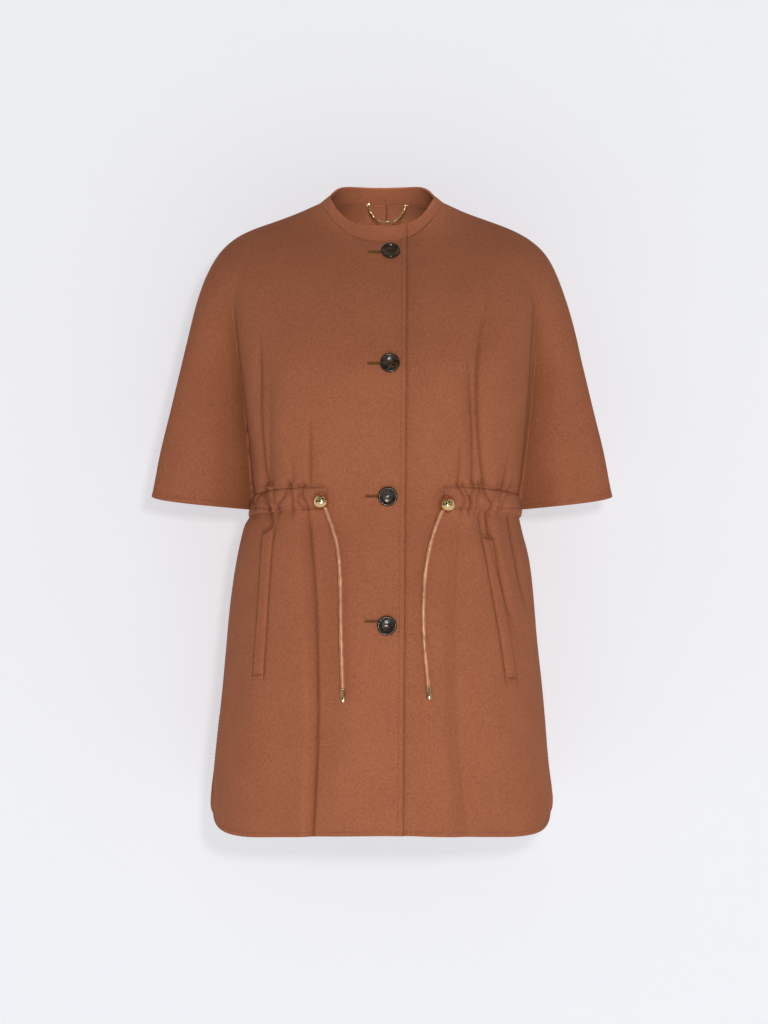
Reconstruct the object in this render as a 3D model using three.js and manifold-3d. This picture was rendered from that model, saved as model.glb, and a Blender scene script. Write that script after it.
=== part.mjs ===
// Wool cape coat, worn shape with no wearer in it: two fronts and two backs cut in one with their wide
// elbow-length sleeves, a stand collar, a drawn-in waist with a casing, two cord ends with ball
// stoppers and metal tips, four buttons, two welt pockets and a hanger chain.
//
// Millimetres, +Z up, -Y to the front, +X to the wearer's left. The origin is in the middle of the neck
// opening, at the height where the shoulders carry the cloth.
import * as THREE from "three";
import { mergeVertices } from "three/addons/utils/BufferGeometryUtils.js";
import Module from "manifold-3d";

const wasm = await Module();
wasm.setup();

// ---------------------------------------------------------------- driving dimensions
const CLOTH = 2.6; // thickness of the double-faced wool
const SEAM = 0.4; // gap between two pieces where they are sewn
const CENTRE = 6; // x of the button line and of the centre back seam
const FRONT_EDGE = 27; // x of the edge of the buttoned-over right front
const UNDER_EDGE = -15; // x of the hidden edge of the left front
const UNDERLAP = CLOTH + 0.9; // how far the left front lies behind the right one
const LOBE_SHARE = 0.62; // share of a row's columns on the body; the rest are on the sleeve
const TIP_ROW = 12; // the row that ends the sleeve, at the drawn-in waist
const HEM_ROW = 20;
const CORNER_WIDE = 130; // width and height of the rounded corners beside the vents
const CORNER_HIGH = 60;
const HEM = { front: -769, back: -783, side: -786, quarter: 165 }; // heights of the hem, and the mean radius of the body there
const VENT_TOP = -690; // the side seams are open below this height

// ---------------------------------------------------------------- the form of the cloth
// One line for each row round the body, from the neck seam (0) by the waist (12) to the hem (20).
// frontZ, frontY and backZ, backY: the row at the centre front and back. ridgeX, ridgeZ: where front and
// back meet, on the shoulder and down the outer edge of the sleeve. power: 2 is an ellipse, and more
// is squarer. right, left: half width of the body itself on each side. fold: 0 where body and sleeve are one curve, 1
// where the sleeve hangs behind the body. gap: half the opening between the sleeve's two layers at the
// body, and bulge the same at its middle. dip: how much lower the row is at the side.
const ROWS = table(
  "frontZ frontY backZ backY ridgeX ridgeZ power right left fold gap bulge dip",
  [
    [-54, -80, 10, 72, 78, 1, 2.0, 150, 150, 0, 24, 24, 0],
    [-62, -88, -3, 80, 103, -10, 2.0, 160, 162, 0, 24, 24, 0],
    [-75, -97, -20, 89, 132, -21, 2.1, 170, 174, 0, 24, 24, 0],
    [-92, -107, -40, 98, 160, -31, 2.2, 178, 184, 0, 24, 24, 0],
    [-112, -117, -62, 105, 184, -44, 2.3, 182, 191, 0.02, 24, 24, 0],
    [-135, -127, -88, 111, 203, -62, 2.4, 182, 194, 0.14, 24, 25, 0],
    [-160, -136, -118, 115, 218, -88, 2.5, 181, 195, 0.36, 24, 26, 0],
    [-186, -145, -150, 117, 230, -121, 2.6, 179, 193, 0.62, 24, 27, 0],
    [-213, -151, -184, 117, 241, -161, 2.7, 176, 190, 0.86, 24, 28, 0],
    [-243, -151, -222, 115, 252, -206, 2.8, 173, 187, 1, 23, 29, 2],
    [-278, -147, -264, 110, 264, -256, 2.9, 169, 183, 1, 21, 30, 6],
    [-320, -139, -314, 103, 277, -309, 2.9, 164, 177, 1, 14, 30, 12],
    [-365, -128, -365, 96, 288, -364, 2.9, 162, 171, 1, 0, 28, 17],
    [-395, -129, -395, 98, 300, -395, 2.8, 173, 174, 1, 0, 28, 10],
    [-440, -135, -440, 103, 300, -440, 2.7, 182, 183, 1, 0, 28, 4],
    [-500, -142, -500, 109, 300, -500, 2.6, 190, 190, 1, 0, 28, 0],
    [-565, -148, -565, 115, 300, -565, 2.6, 196, 196, 1, 0, 28, 0],
    [-630, -153, -630, 120, 300, -630, 2.6, 202, 202, 1, 0, 28, 0],
    [-690, -156, -690, 124, 300, -690, 2.6, 209, 208, 1, 0, 28, 0],
    [-740, -159, -740, 127, 300, -740, 2.6, 214, 213, 1, 0, 28, 0],
    [-784, -161, -784, 129, 300, -784, 2.6, 216, 215, 1, 0, 28, 0],
  ],
);

// The largest folds. face: front or back. side: -1 the wearer's right, 1 the left. xTop and xEnd: its
// distance from the middle at its two ends, top and end: their heights. depth: at the deep end, which
// is the end nearer the hem below the waist and the waist above it. soft: width of its gentle outer
// side; its inner side is a third of that.
const FOLDS = table("face side xTop xEnd top end depth soft", [
  ["front", -1, 92, 84, -372, -800, 13, 42],
  ["front", 1, 92, 106, -372, -800, 11, 42],
  ["front", -1, 128, 134, -160, -352, 5, 26],
  ["front", 1, 118, 104, -120, -352, 7, 26],
  ["back", -1, 96, 104, -372, -800, 13, 44],
  ["back", 1, 84, 92, -372, -800, 14, 44],
  ["back", -1, 120, 106, -150, -352, 6, 26],
  ["back", 1, 124, 112, -150, -352, 6, 26],
]);
const FOLD_TURN = 150; // millimetres of cloth for each radian round the body

function table(names, lines) {
  const keys = names.split(" ");
  return lines.map((line) =>
    Object.fromEntries(keys.map((k, i) => [k, line[i]])),
  );
}

const clamp = (v, low, high) => Math.min(high, Math.max(low, v));
const mix = (a, b, t) => a + (b - a) * t;
const smooth = (t) => ((t) => t * t * (3 - 2 * t))(clamp(t, 0, 1));

// A column of ROWS at a row number that need not be whole, on a smooth curve through the lines.
function rowValue(key, row) {
  const last = ROWS.length - 1;
  const i = clamp(Math.floor(row), 0, last - 1);
  const t = row - i;
  const at = (j) => ROWS[clamp(j, 0, last)][key];
  const [a, b, c, d] = [at(i - 1), at(i), at(i + 1), at(i + 2)];
  const inner = (c - a) / 2;
  const outer = (d - b) / 2;
  return (
    b +
    t * (inner + t * (3 * (c - b) - 2 * inner - outer)) +
    t * t * t * (inner + outer - 2 * (c - b))
  );
}

// How deep the folds press the cloth in, at an angle from the middle of a panel.
function foldDepth(face, side, turn, half, z) {
  let deep = 0;
  for (const f of FOLDS) {
    if (f.face !== face || f.side !== side) continue;
    const t = (f.top - z) / (f.top - f.end);
    if (t <= 0 || t >= 1.1) continue;
    const below = f.end < -400;
    const strength = below
      ? mix(0.35, 1, smooth(t * 1.4)) * smooth(t * 20)
      : smooth(t * 1.2) * smooth((1.1 - t) * 6);
    const from = Math.asin(clamp(mix(f.xTop, f.xEnd, t) / half, -1, 1));
    const away = (turn - from) * FOLD_TURN;
    const width = away > 0 ? f.soft : f.soft / 3;
    deep += f.depth * strength * Math.exp(-((away / width) ** 2));
  }
  return deep;
}

// A point of the outer face. side: -1 or 1. across: 0 at the middle, LOBE_SHARE where body and
// sleeve part, 1 on the ridge; below 0 is past the middle. row: as in ROWS.
function formPoint(face, side, across, row) {
  const get = (key) => rowValue(key, row);
  const out = face === "front" ? -1 : 1;
  const depth = get(face + "Y");
  const power = get("power");
  const half = get(side < 0 ? "right" : "left");
  const fold = clamp(get("fold"), 0, 1);
  const gap = Math.max(get("gap"), 0) + SEAM / 2;
  const span = get("ridgeX");

  // the plain curve, as if body and sleeve were one
  const turn = (across * Math.PI) / 2;
  const open = Math.sqrt(Math.max(0, 1 - Math.abs(Math.sin(turn)) ** power));
  const plain = [
    span * Math.sin(turn),
    mix((out * SEAM) / 2, depth, open),
  ];

  // the body, then the sleeve behind it
  let parted;
  let bodyTurn = Math.PI / 2;
  if (across <= LOBE_SHARE) {
    bodyTurn = ((across / LOBE_SHARE) * Math.PI) / 2;
    const s = Math.abs(Math.sin(bodyTurn));
    parted = [
      half * Math.sin(bodyTurn),
      mix(out * gap, depth, Math.sqrt(Math.max(0, 1 - s ** power))),
    ];
  } else {
    const w = Math.sin(
      (((across - LOBE_SHARE) / (1 - LOBE_SHARE)) * Math.PI) / 2,
    );
    const thick = mix(gap, get("bulge"), smooth(w * 2.2));
    const round = Math.sqrt(Math.max(0, 1 - w ** 4));
    parted = [mix(half, span, w), (out * SEAM) / 2 + out * thick * round];
  }
  let x = mix(plain[0], parted[0], fold);
  let y = mix(plain[1], parted[1], fold);

  const middleZ = get(face + "Z");
  const lift = row <= TIP_ROW ? Math.abs(Math.sin(turn)) ** 2.5 : 0;
  const reach = clamp(across / LOBE_SHARE, 0, 1);
  const back = clamp((1 - across) / (1 - LOBE_SHARE), 0, 1);
  const sag = Math.min(reach * reach, back) * get("dip");
  let z = mix(middleZ, get("ridgeZ"), lift) - sag;

  // folds, pressed in along the plan normal of the body
  const deep =
    across < LOBE_SHARE ? foldDepth(face, side, bodyTurn, half, z) : 0;
  const rim = Math.cos(clamp(bodyTurn, 0, Math.PI / 2)) ** 0.5;
  x -= deep * Math.sin(bodyTurn) * rim;
  y -= deep * Math.cos(bodyTurn) * rim * out;

  // the left front passes behind the right one
  if (face === "front" && side > 0) {
    const rise = rowValue("frontZ", row + 0.2) - rowValue("frontZ", row - 0.2);
    const run = rowValue("frontY", row + 0.2) - rowValue("frontY", row - 0.2);
    const behind = UNDERLAP * Math.hypot(1, run / rise);
    y += behind * (1 - smooth((x - FRONT_EDGE - 1) / 24));
  }
  return new THREE.Vector3(side * x, y, z);
}

// The value of across where a row has that distance from the middle, on the body.
function acrossAt(face, side, row, x) {
  let low = -0.4;
  let high = row < 6 ? 0.98 : LOBE_SHARE * 0.99;
  for (let i = 0; i < 40; i++) {
    const middle = (low + high) / 2;
    if (formPoint(face, side, middle, row).x * side < x) low = middle;
    else high = middle;
  }
  return (low + high) / 2;
}

// The row that has that height, at a distance from the middle.
function rowAt(face, side, x, z) {
  let low = 0;
  let high = HEM_ROW;
  for (let i = 0; i < 40; i++) {
    const middle = (low + high) / 2;
    const p = formPoint(face, side, acrossAt(face, side, middle, x), middle);
    if (p.z > z) low = middle;
    else high = middle;
  }
  return (low + high) / 2;
}

// The cut of the hem and its rounded corner: rows below the waist end here.
function cutRow(face, side, across, row) {
  if (row <= TIP_ROW) return row;
  const share = clamp(across / LOBE_SHARE, -1, 1);
  const centre = face === "front" ? HEM.front : HEM.back;
  const level = mix(centre, HEM.side, Math.abs(share) ** 1.5);
  const fromSide = (1 - Math.abs(share)) * (Math.PI / 2) * HEM.quarter;
  const into = clamp(1 - fromSide / CORNER_WIDE, 0, 1);
  const hem = level + CORNER_HIGH * (1 - Math.sqrt(1 - into * into));
  const whole = rowValue(face + "Z", HEM_ROW);
  const waist = rowValue(face + "Z", TIP_ROW);
  const wanted = mix(
    waist,
    hem,
    (rowValue(face + "Z", row) - waist) / (whole - waist),
  );
  let low = TIP_ROW;
  let high = HEM_ROW + 0.6;
  for (let i = 0; i < 30; i++) {
    const middle = (low + high) / 2;
    if (rowValue(face + "Z", middle) > wanted) low = middle;
    else high = middle;
  }
  return (low + high) / 2;
}

// A panel's point with the cut of its hem and the spread of the vents.
function panelPoint(face, side, across, row) {
  const p = formPoint(face, side, across, cutRow(face, side, across, row));
  const open = smooth((VENT_TOP - p.z) / 90) * smooth((across - 0.4) / 0.22);
  p.x -= side * open * (face === "front" ? 4 : -1.5);
  p.y += open * (face === "front" ? -5 : 3);
  return p;
}

// ---------------------------------------------------------------- closed walls from a grid
// The outer points of a sheet of cloth and its normals. place(i, j) gives a point, for i columns and
// j rows, and has(i, j) says whether a cell is cloth. flip turns the side that faces out.
function sheet(columns, rows, place, flip, has = () => true) {
  const at = (i, j) => j * (columns + 1) + i;
  const outer = [];
  for (let j = 0; j <= rows; j++)
    for (let i = 0; i <= columns; i++) outer.push(place(i, j));
  const cells = [];
  for (let j = 0; j < rows; j++)
    for (let i = 0; i < columns; i++) if (has(i, j)) cells.push([i, j]);
  const corners = ([i, j]) =>
    flip
      ? [at(i, j), at(i, j + 1), at(i + 1, j + 1), at(i + 1, j)]
      : [at(i, j), at(i + 1, j), at(i + 1, j + 1), at(i, j + 1)];

  const normals = outer.map(() => new THREE.Vector3());
  for (const cell of cells) {
    const [a, b, c, d] = corners(cell).map((k) => outer[k]);
    const n = c.clone().sub(a).cross(d.clone().sub(b));
    for (const k of corners(cell)) normals[k].add(n);
  }
  for (const n of normals) n.normalize();
  return { at, outer, normals, quads: cells.map(corners) };
}

// A closed wall from a sheet: its inner face lies `thick` behind the outer one, and keep(point) moves
// an inner point that would cross a seam.
function wall({ outer, normals, quads }, thick, keep = () => {}) {
  const inner = outer.map((p, k) => p.clone().addScaledVector(normals[k], -thick));
  inner.forEach(keep);
  const points = [...outer, ...inner];
  const back = outer.length;
  const faces = [];
  const edges = new Map();
  for (const [a, b, c, d] of quads) {
    faces.push([a, b, c], [a, c, d]);
    faces.push([a + back, c + back, b + back], [a + back, d + back, c + back]);
    for (const [p, q] of [
      [a, b],
      [b, c],
      [c, d],
      [d, a],
    ]) {
      if (edges.has(q + " " + p)) edges.delete(q + " " + p);
      else edges.set(p + " " + q, [p, q]);
    }
  }
  for (const [p, q] of edges.values())
    faces.push([p, p + back, q + back], [p, q + back, q]);
  const geometry = new THREE.BufferGeometry();
  geometry.setAttribute(
    "position",
    new THREE.Float32BufferAttribute(
      faces.flat().flatMap((k) => points[k].toArray()),
      3,
    ),
  );
  return geometry;
}

// ---------------------------------------------------------------- joins and cuts
function solid(geometry) {
  const bare = new THREE.BufferGeometry().setAttribute(
    "position",
    (geometry.index ? geometry.toNonIndexed() : geometry).getAttribute(
      "position",
    ),
  );
  const merged = mergeVertices(bare, 1e-4);
  return new wasm.Manifold(
    new wasm.Mesh({
      numProp: 3,
      vertProperties: merged.attributes.position.array,
      triVerts: new Uint32Array(merged.index.array),
    }),
  );
}

function geometryOf(made) {
  const mesh = made.getMesh();
  const places = new Float32Array(mesh.numVert * 3);
  for (let i = 0; i < mesh.numVert; i++)
    for (let k = 0; k < 3; k++)
      places[i * 3 + k] = mesh.vertProperties[i * mesh.numProp + k];
  return new THREE.BufferGeometry()
    .setAttribute("position", new THREE.BufferAttribute(places, 3))
    .setIndex(new THREE.BufferAttribute(mesh.triVerts, 1));
}

// ---------------------------------------------------------------- materials
const WOOL = new THREE.MeshStandardMaterial({
  color: 0x9a5d41,
  roughness: 0.95,
  metalness: 0,
});
const HORN = new THREE.MeshStandardMaterial({
  color: 0x2a2018,
  roughness: 0.25,
  metalness: 0,
});
const GOLD = new THREE.MeshStandardMaterial({
  color: 0xc8a864,
  roughness: 0.2,
  metalness: 1,
});
const LEATHER = new THREE.MeshStandardMaterial({
  color: 0xc08560,
  roughness: 0.55,
  metalness: 0,
});

const coat = new THREE.Group();
function piece(name, geometry, material) {
  const mesh = new THREE.Mesh(geometry, material);
  mesh.name = name;
  coat.add(mesh);
  return mesh;
}

// ---------------------------------------------------------------- fronts and backs
const PLAIN_COLUMNS = 5; // from the edge to where the front casings start
const BODY_COLUMNS = 14;
const CASING_FROM = { right: 0.168, left: 0.179 }; // where that is, as in formPoint's across
const SLEEVE_COLUMNS = 5;
const CASING_TOP = 11.7; // the two rows that the waist casing reaches
const CASING_FOOT = 12.43;
// Rows of the mesh: close together over the shoulder, at the waist and at the hem.
const ROW_STEPS = [
  0, 0.7, 1.5, 2.4, 3.3, 4.2, 5.1, 6, 7, 8, 9, 10, 11, CASING_TOP, TIP_ROW, CASING_FOOT,
  13.2, 14.2, 15.2, 16.2, 17.2, 18, 18.7, 19.3, 20,
];
const SLEEVE_ROWS = ROW_STEPS.indexOf(TIP_ROW);

function panelSheet(face, side, edge) {
  const columns = BODY_COLUMNS + SLEEVE_COLUMNS;
  const place = (i, j) => {
    const row = ROW_STEPS[j];
    const start = acrossAt(face, side, row, edge);
    const middle = CASING_FROM[side < 0 ? "right" : "left"];
    const waist = (i - PLAIN_COLUMNS) / (BODY_COLUMNS - PLAIN_COLUMNS);
    let across = mix(start, middle, i / PLAIN_COLUMNS);
    if (i > PLAIN_COLUMNS) across = mix(middle, LOBE_SHARE, waist);
    if (i > BODY_COLUMNS)
      across = mix(LOBE_SHARE, 1, (i - BODY_COLUMNS) / SLEEVE_COLUMNS);
    return panelPoint(face, side, across, row);
  };
  const has = (i, j) => i < BODY_COLUMNS || j < SLEEVE_ROWS;
  const flip = (face === "front") === side > 0;
  return sheet(columns, ROW_STEPS.length - 1, place, flip, has);
}

// Keeps the inner face of a front before the plane of the side seams, and a back's behind it.
const ownSide = (face) => (p) => {
  p.y = face === "front" ? Math.min(p.y, -SEAM / 2) : Math.max(p.y, SEAM / 2);
};

const SHEETS = {
  front_right: panelSheet("front", -1, -FRONT_EDGE),
  front_left: panelSheet("front", 1, UNDER_EDGE),
  back_right: panelSheet("back", -1, -CENTRE + SEAM / 2),
  back_left: panelSheet("back", 1, CENTRE + SEAM / 2),
};
const panelWall = (name) => wall(SHEETS[name], CLOTH, ownSide(name.split("_")[0]));

// ---------------------------------------------------------------- frames on the cloth
// A place on the outer face of a front, with its axes: out of the cloth, and across to the left.
function placeOn(face, side, x, z, lift = 0) {
  const row = rowAt(face, side, x, z);
  const across = acrossAt(face, side, row, x);
  const step = 0.01;
  const p = formPoint(face, side, across, row);
  const u = formPoint(face, side, across + step, row).sub(p);
  const v = formPoint(face, side, across, row + step * 4).sub(p);
  const out = u.cross(v).normalize();
  if (out.y > 0 === (face === "front")) out.negate();
  return { p: p.addScaledVector(out, lift), out };
}

// Turns +Z of a geometry to a direction, with its X kept level, and moves it there.
function setOn(geometry, at, out) {
  const level = new THREE.Vector3(0, 0, 1).cross(out).normalize();
  const up = out.clone().cross(level);
  return geometry.applyMatrix4(
    new THREE.Matrix4().makeBasis(level, up, out).setPosition(at),
  );
}

// ---------------------------------------------------------------- buttons and buttonholes
const BUTTON_R = 11.8;
// The middle of each button.
const BUTTONS = [
  { x: 10.5, z: -69 },
  { x: 9.7, z: -207 },
  { x: 7, z: -365 },
  { x: 6, z: -520 },
];
const BUTTON_LIFT = 1.6; // air between cloth and button
const SHANK_R = 1.4;
const HOLE_R = 1.0;
const HOLE_SPREAD = 2.3;
const SLIT = { length: 24, height: 1, eye: SHANK_R + 0.5 };

// Where the button's back is, over the right front, whose local x is the other way round.
const buttonPlace = ({ x, z }) => placeOn("front", -1, -x, z, BUTTON_LIFT);

function buttonBody() {
  const rim = [
    [0, 0],
    [7.5, 0],
    [BUTTON_R - 0.6, 1.2],
    [BUTTON_R, 2.4],
    [BUTTON_R - 0.5, 3.7],
    [BUTTON_R - 1.7, 4.1],
    [BUTTON_R - 2.9, 3.4],
    [6.4, 2.3],
    [0, 2.1],
  ].map(([r, z]) => new THREE.Vector2(r, z));
  return new THREE.LatheGeometry(rim, 20).rotateX(Math.PI / 2);
}

function button(spot) {
  const { p, out } = buttonPlace(spot);
  let made = solid(buttonBody());
  for (let k = 0; k < 4; k++) {
    const a = ((k + 0.5) * Math.PI) / 2;
    const hole = new THREE.CylinderGeometry(HOLE_R, HOLE_R, 10, 8)
      .rotateX(Math.PI / 2)
      .translate(HOLE_SPREAD * Math.cos(a), HOLE_SPREAD * Math.sin(a), 0);
    made = made.subtract(solid(hole));
  }
  const length = BUTTON_LIFT + UNDERLAP - 0.35;
  const shank = new THREE.CylinderGeometry(SHANK_R, SHANK_R, length + 1, 10)
    .rotateX(Math.PI / 2)
    .translate(0, 0, (1 - length) / 2);
  made = made.add(solid(shank));
  return setOn(geometryOf(made), p, out);
}

// The slit and its round eye at the button's thread, cut through the right front.
function buttonhole(spot) {
  const { p, out } = buttonPlace(spot);
  const slit = new THREE.BoxGeometry(SLIT.length, SLIT.height, 16).translate(
    -SLIT.length / 2,
    0,
    0,
  );
  const eye = new THREE.CylinderGeometry(SLIT.eye, SLIT.eye, 16, 10).rotateX(
    Math.PI / 2,
  );
  return solid(setOn(slit, p, out)).add(solid(setOn(eye, p, out)));
}

let rightFront = solid(panelWall("front_right"));
for (const spot of BUTTONS) rightFront = rightFront.subtract(buttonhole(spot));
piece("front_right", geometryOf(rightFront), WOOL);

// ---------------------------------------------------------------- cords, stoppers and tips
const CORD_R = 2.6;
const BALL_R = 9.3;
const TIP_R = 3;
const TIP_LENGTH = 17;
// Each drawstring end: where its eyelet is, then the route of the cord below the ball, as distance
// from the middle and height, chosen by hand.
const CORDS = [
  {
    name: "right",
    side: -1,
    eyelet: { x: 71, z: -362 },
    ball: { x: 70, z: -371 },
    route: [
      [65.5, -381],
      [62, -391],
      [58, -403],
      [54.5, -416],
      [52, -430],
      [50.3, -446],
      [49.4, -463],
      [49, -481],
      [48.8, -500],
      [48.6, -520],
      [48.2, -540],
      [47.6, -560],
      [46.9, -578],
      [46.3, -594],
    ],
  },
  {
    name: "left",
    side: 1,
    eyelet: { x: 76, z: -366 },
    ball: { x: 75.5, z: -375 },
    route: [
      [69.5, -385],
      [65.5, -395],
      [61.5, -407],
      [58, -420],
      [55, -434],
      [52.6, -450],
      [51, -467],
      [50, -485],
      [49.6, -503],
      [49.7, -521],
      [50.4, -539],
      [51.6, -556],
      [53, -572],
      [54.6, -591],
    ],
  },
];
const BALL_GAP = 0.6; // between ball and casing
const CORD_CLEAR = 0.8; // between the hanging cord and the skirt
const CASING_THICK = 1.6;

function cordPoints(c) {
  const face = CASING_THICK + SEAM;
  const over = face + BALL_R + BALL_GAP;
  const ball = placeOn("front", c.side, c.ball.x, c.ball.z, over).p;
  const eye = placeOn("front", c.side, c.eyelet.x, c.eyelet.z);
  const start = eye.p.clone().addScaledVector(eye.out, face + BALL_GAP + CORD_R * 0.75);
  const points = [start];
  c.route.forEach(([x, z], i) => {
    const settle = smooth((i + 1) / 8);
    const lift = mix(over - 1.5, CORD_R + CORD_CLEAR, settle);
    points.push(placeOn("front", c.side, x, z, lift).p);
  });
  points.splice(1, 0, ball);
  return { points, ball };
}

// A rod of round section along a smooth curve, as a closed tube.
function rod(points, radius, sides, steps) {
  const curve = new THREE.CatmullRomCurve3(points, false, "centripetal");
  const ring = new THREE.Shape(
    Array.from({ length: sides }, (_, k) => {
      const a = (k * 2 * Math.PI) / sides;
      return new THREE.Vector2(radius * Math.cos(a), radius * Math.sin(a));
    }),
  );
  return new THREE.ExtrudeGeometry(ring, { steps, extrudePath: curve });
}

function stopper(ball, points) {
  const body = new THREE.SphereGeometry(BALL_R, 18, 10).translate(
    ball.x,
    ball.y,
    ball.z,
  );
  const bore = rod(points.slice(0, 5), CORD_R + 0.9, 12, 18);
  return geometryOf(solid(body).subtract(solid(bore)));
}

for (const c of CORDS) {
  const { points, ball } = cordPoints(c);
  const end = points.at(-1);
  const before = points.at(-2);
  const down = end.clone().sub(before).normalize();
  piece(`cord_${c.name}`, rod(points, CORD_R, 8, 44), LEATHER);
  piece(`stopper_${c.name}`, stopper(ball, points), GOLD);
  const tip = new THREE.CylinderGeometry(TIP_R, TIP_R, TIP_LENGTH, 12)
    .rotateX(Math.PI / 2)
    .translate(0, 0, TIP_LENGTH / 2 + 0.35);
  piece(`cord_tip_${c.name}`, setOn(tip, end, down), GOLD);
}

// ---------------------------------------------------------------- the other panels
for (const name of ["front_left", "back_right", "back_left"])
  piece(name, panelWall(name), WOOL);
BUTTONS.forEach((spot, i) => piece(`button_${i + 1}`, button(spot), HORN));

// ---------------------------------------------------------------- waist casing
// A flat tunnel of cloth on each panel at the drawn-in waist: the panel's own points, moved out.
// from: the first column that it covers.
function casing(name, from) {
  const base = SHEETS[name];
  const top = ROW_STEPS.indexOf(CASING_TOP);
  const place = (i, j) => {
    const k = base.at(from + i, top + j);
    return base.outer[k].clone().addScaledVector(base.normals[k], CASING_THICK + SEAM);
  };
  const [face, side] = name.split("_");
  const flip = (face === "front") === (side === "left");
  return wall(sheet(BODY_COLUMNS - 1 - from, 2, place, flip), CASING_THICK, ownSide(face));
}
piece("casing_front_right", casing("front_right", PLAIN_COLUMNS), WOOL);
piece("casing_front_left", casing("front_left", PLAIN_COLUMNS), WOOL);
piece("casing_back_right", casing("back_right", 0), WOOL);
piece("casing_back_left", casing("back_left", 0), WOOL);

// ---------------------------------------------------------------- pocket welts
const WELT = { width: 15, thick: 2.2, top: [136, -404], end: [157, -596] };

function liftedPoint(face, side, across, row, lift) {
  const step = 0.004;
  const p = formPoint(face, side, across, row);
  const u = formPoint(face, side, across + step, row).sub(p);
  const v = formPoint(face, side, across, row + step * 10).sub(p);
  const out = u.cross(v).normalize();
  const away = new THREE.Vector3(p.x, p.y, 0);
  if (out.dot(away) < 0) out.negate();
  return p.addScaledVector(out, lift);
}

function welt(side) {
  const rows = 12;
  const place = (i, j) => {
    const t = j / rows;
    const x = mix(WELT.top[0], WELT.end[0], t) + (i - 1) * (WELT.width / 2) * 0.8;
    const z = mix(WELT.top[1], WELT.end[1], t);
    const row = rowAt("front", side, x, z);
    const across = acrossAt("front", side, row, x);
    return liftedPoint("front", side, across, row, WELT.thick + SEAM + 0.2);
  };
  return wall(sheet(2, rows, place, side > 0), WELT.thick);
}
piece("welt_right", welt(-1), WOOL);
piece("welt_left", welt(1), WOOL);

// ---------------------------------------------------------------- stand collar
// The band runs once round the neck seam; its right end laps over its left end at the front.
const TOP = { half: 66, front: -66, back: 52, frontZ: -33, sideZ: 10, backZ: 28 };
const TOP_CURVE = { front: 3.5, back: 8 }; // how late the top edge turns to the height at the side
const COLLAR_FOOT = 0.05; // where the band starts, as a share of its height

// turn: 0 at the centre front, rising to the wearer's left. up: 0 at the seam, 1 at the top edge.
function collarPoint(turn, up) {
  const s = Math.sin(turn);
  const c = Math.cos(turn);
  const face = c >= 0 ? "front" : "back";
  const lapped = turn > Math.PI; // the right half, which ends on top
  const side = lapped ? -1 : 1;
  const base = formPoint(face, side, (side * 2 * Math.asin(s)) / Math.PI, 0);
  const rise = Math.abs(s) ** TOP_CURVE[face];
  const middle = (TOP.front + TOP.back) / 2;
  const reach = (TOP.back - TOP.front) / 2;
  const top = new THREE.Vector3(
    TOP.half * s,
    middle - reach * c,
    mix(c >= 0 ? TOP.frontZ : TOP.backZ, TOP.sideZ, rise),
  );
  const x = base.x - FRONT_EDGE - 1;
  if (!lapped && c >= 0) top.y += UNDERLAP * 1.25 * (1 - smooth(x / 24));
  return base.lerp(top, up);
}

function collar() {
  const columns = 52;
  const first = Math.asin(UNDER_EDGE / rowValue("ridgeX", 0));
  const last = 2 * Math.PI + Math.asin(FRONT_EDGE / rowValue("ridgeX", 0));
  const place = (i, j) => {
    const turn = mix(first, last, i / columns);
    return collarPoint(turn, mix(COLLAR_FOOT, 1, j / 2));
  };
  return wall(sheet(columns, 2, place, false), CLOTH);
}
piece("collar", collar(), WOOL);

// ---------------------------------------------------------------- hanger chain
const CHAIN = { right: -17, left: 32, y: 62, z: 7, sag: 20, radius: 1.1 };

function chain() {
  const points = Array.from({ length: 9 }, (_, k) => {
    const t = k / 4 - 1;
    const x = mix(CHAIN.right, CHAIN.left, k / 8);
    return new THREE.Vector3(x, CHAIN.y, CHAIN.z - CHAIN.sag * (1 - t * t));
  });
  return rod(points, CHAIN.radius, 6, 24);
}
piece("hanger_chain", chain(), GOLD);

export default coat;
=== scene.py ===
"""A wool cape coat in its worn shape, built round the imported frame.

Sizes in the tables are millimetres, as a pattern maker gives them. Meshes are in metres.
"""

import math

import bmesh
import bpy
import numpy as np
from mathutils import Matrix, Vector


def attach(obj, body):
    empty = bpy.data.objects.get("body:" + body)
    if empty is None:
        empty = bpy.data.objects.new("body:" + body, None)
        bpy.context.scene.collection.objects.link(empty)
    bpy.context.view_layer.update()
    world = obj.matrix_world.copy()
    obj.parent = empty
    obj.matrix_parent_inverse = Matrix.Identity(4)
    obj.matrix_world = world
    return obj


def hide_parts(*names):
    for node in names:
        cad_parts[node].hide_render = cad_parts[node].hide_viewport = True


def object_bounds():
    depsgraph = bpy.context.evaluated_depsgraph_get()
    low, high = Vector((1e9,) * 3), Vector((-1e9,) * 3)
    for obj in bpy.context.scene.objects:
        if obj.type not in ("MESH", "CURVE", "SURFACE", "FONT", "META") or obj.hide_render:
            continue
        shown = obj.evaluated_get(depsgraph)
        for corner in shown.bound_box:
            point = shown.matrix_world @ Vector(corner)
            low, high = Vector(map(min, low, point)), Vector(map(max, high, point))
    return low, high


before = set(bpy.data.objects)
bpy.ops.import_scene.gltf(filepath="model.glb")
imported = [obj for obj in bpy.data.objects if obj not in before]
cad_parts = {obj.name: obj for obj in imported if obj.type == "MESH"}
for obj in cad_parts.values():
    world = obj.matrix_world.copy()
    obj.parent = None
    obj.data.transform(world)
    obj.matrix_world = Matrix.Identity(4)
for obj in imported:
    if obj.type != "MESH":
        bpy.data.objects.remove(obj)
CAD_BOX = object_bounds()

bl_info = {
    "name": "Wool cape coat",
    "version": (1, 0, 0),
    "blender": (4, 5, 0),
    "location": "View3D > Sidebar > Cape coat",
    "description": "Builds a wool cape coat with a stand collar and a drawstring waist",
    "category": "Add Mesh",
}

MM = 0.001

# ------------------------------------------------------------------ small helpers


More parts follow.
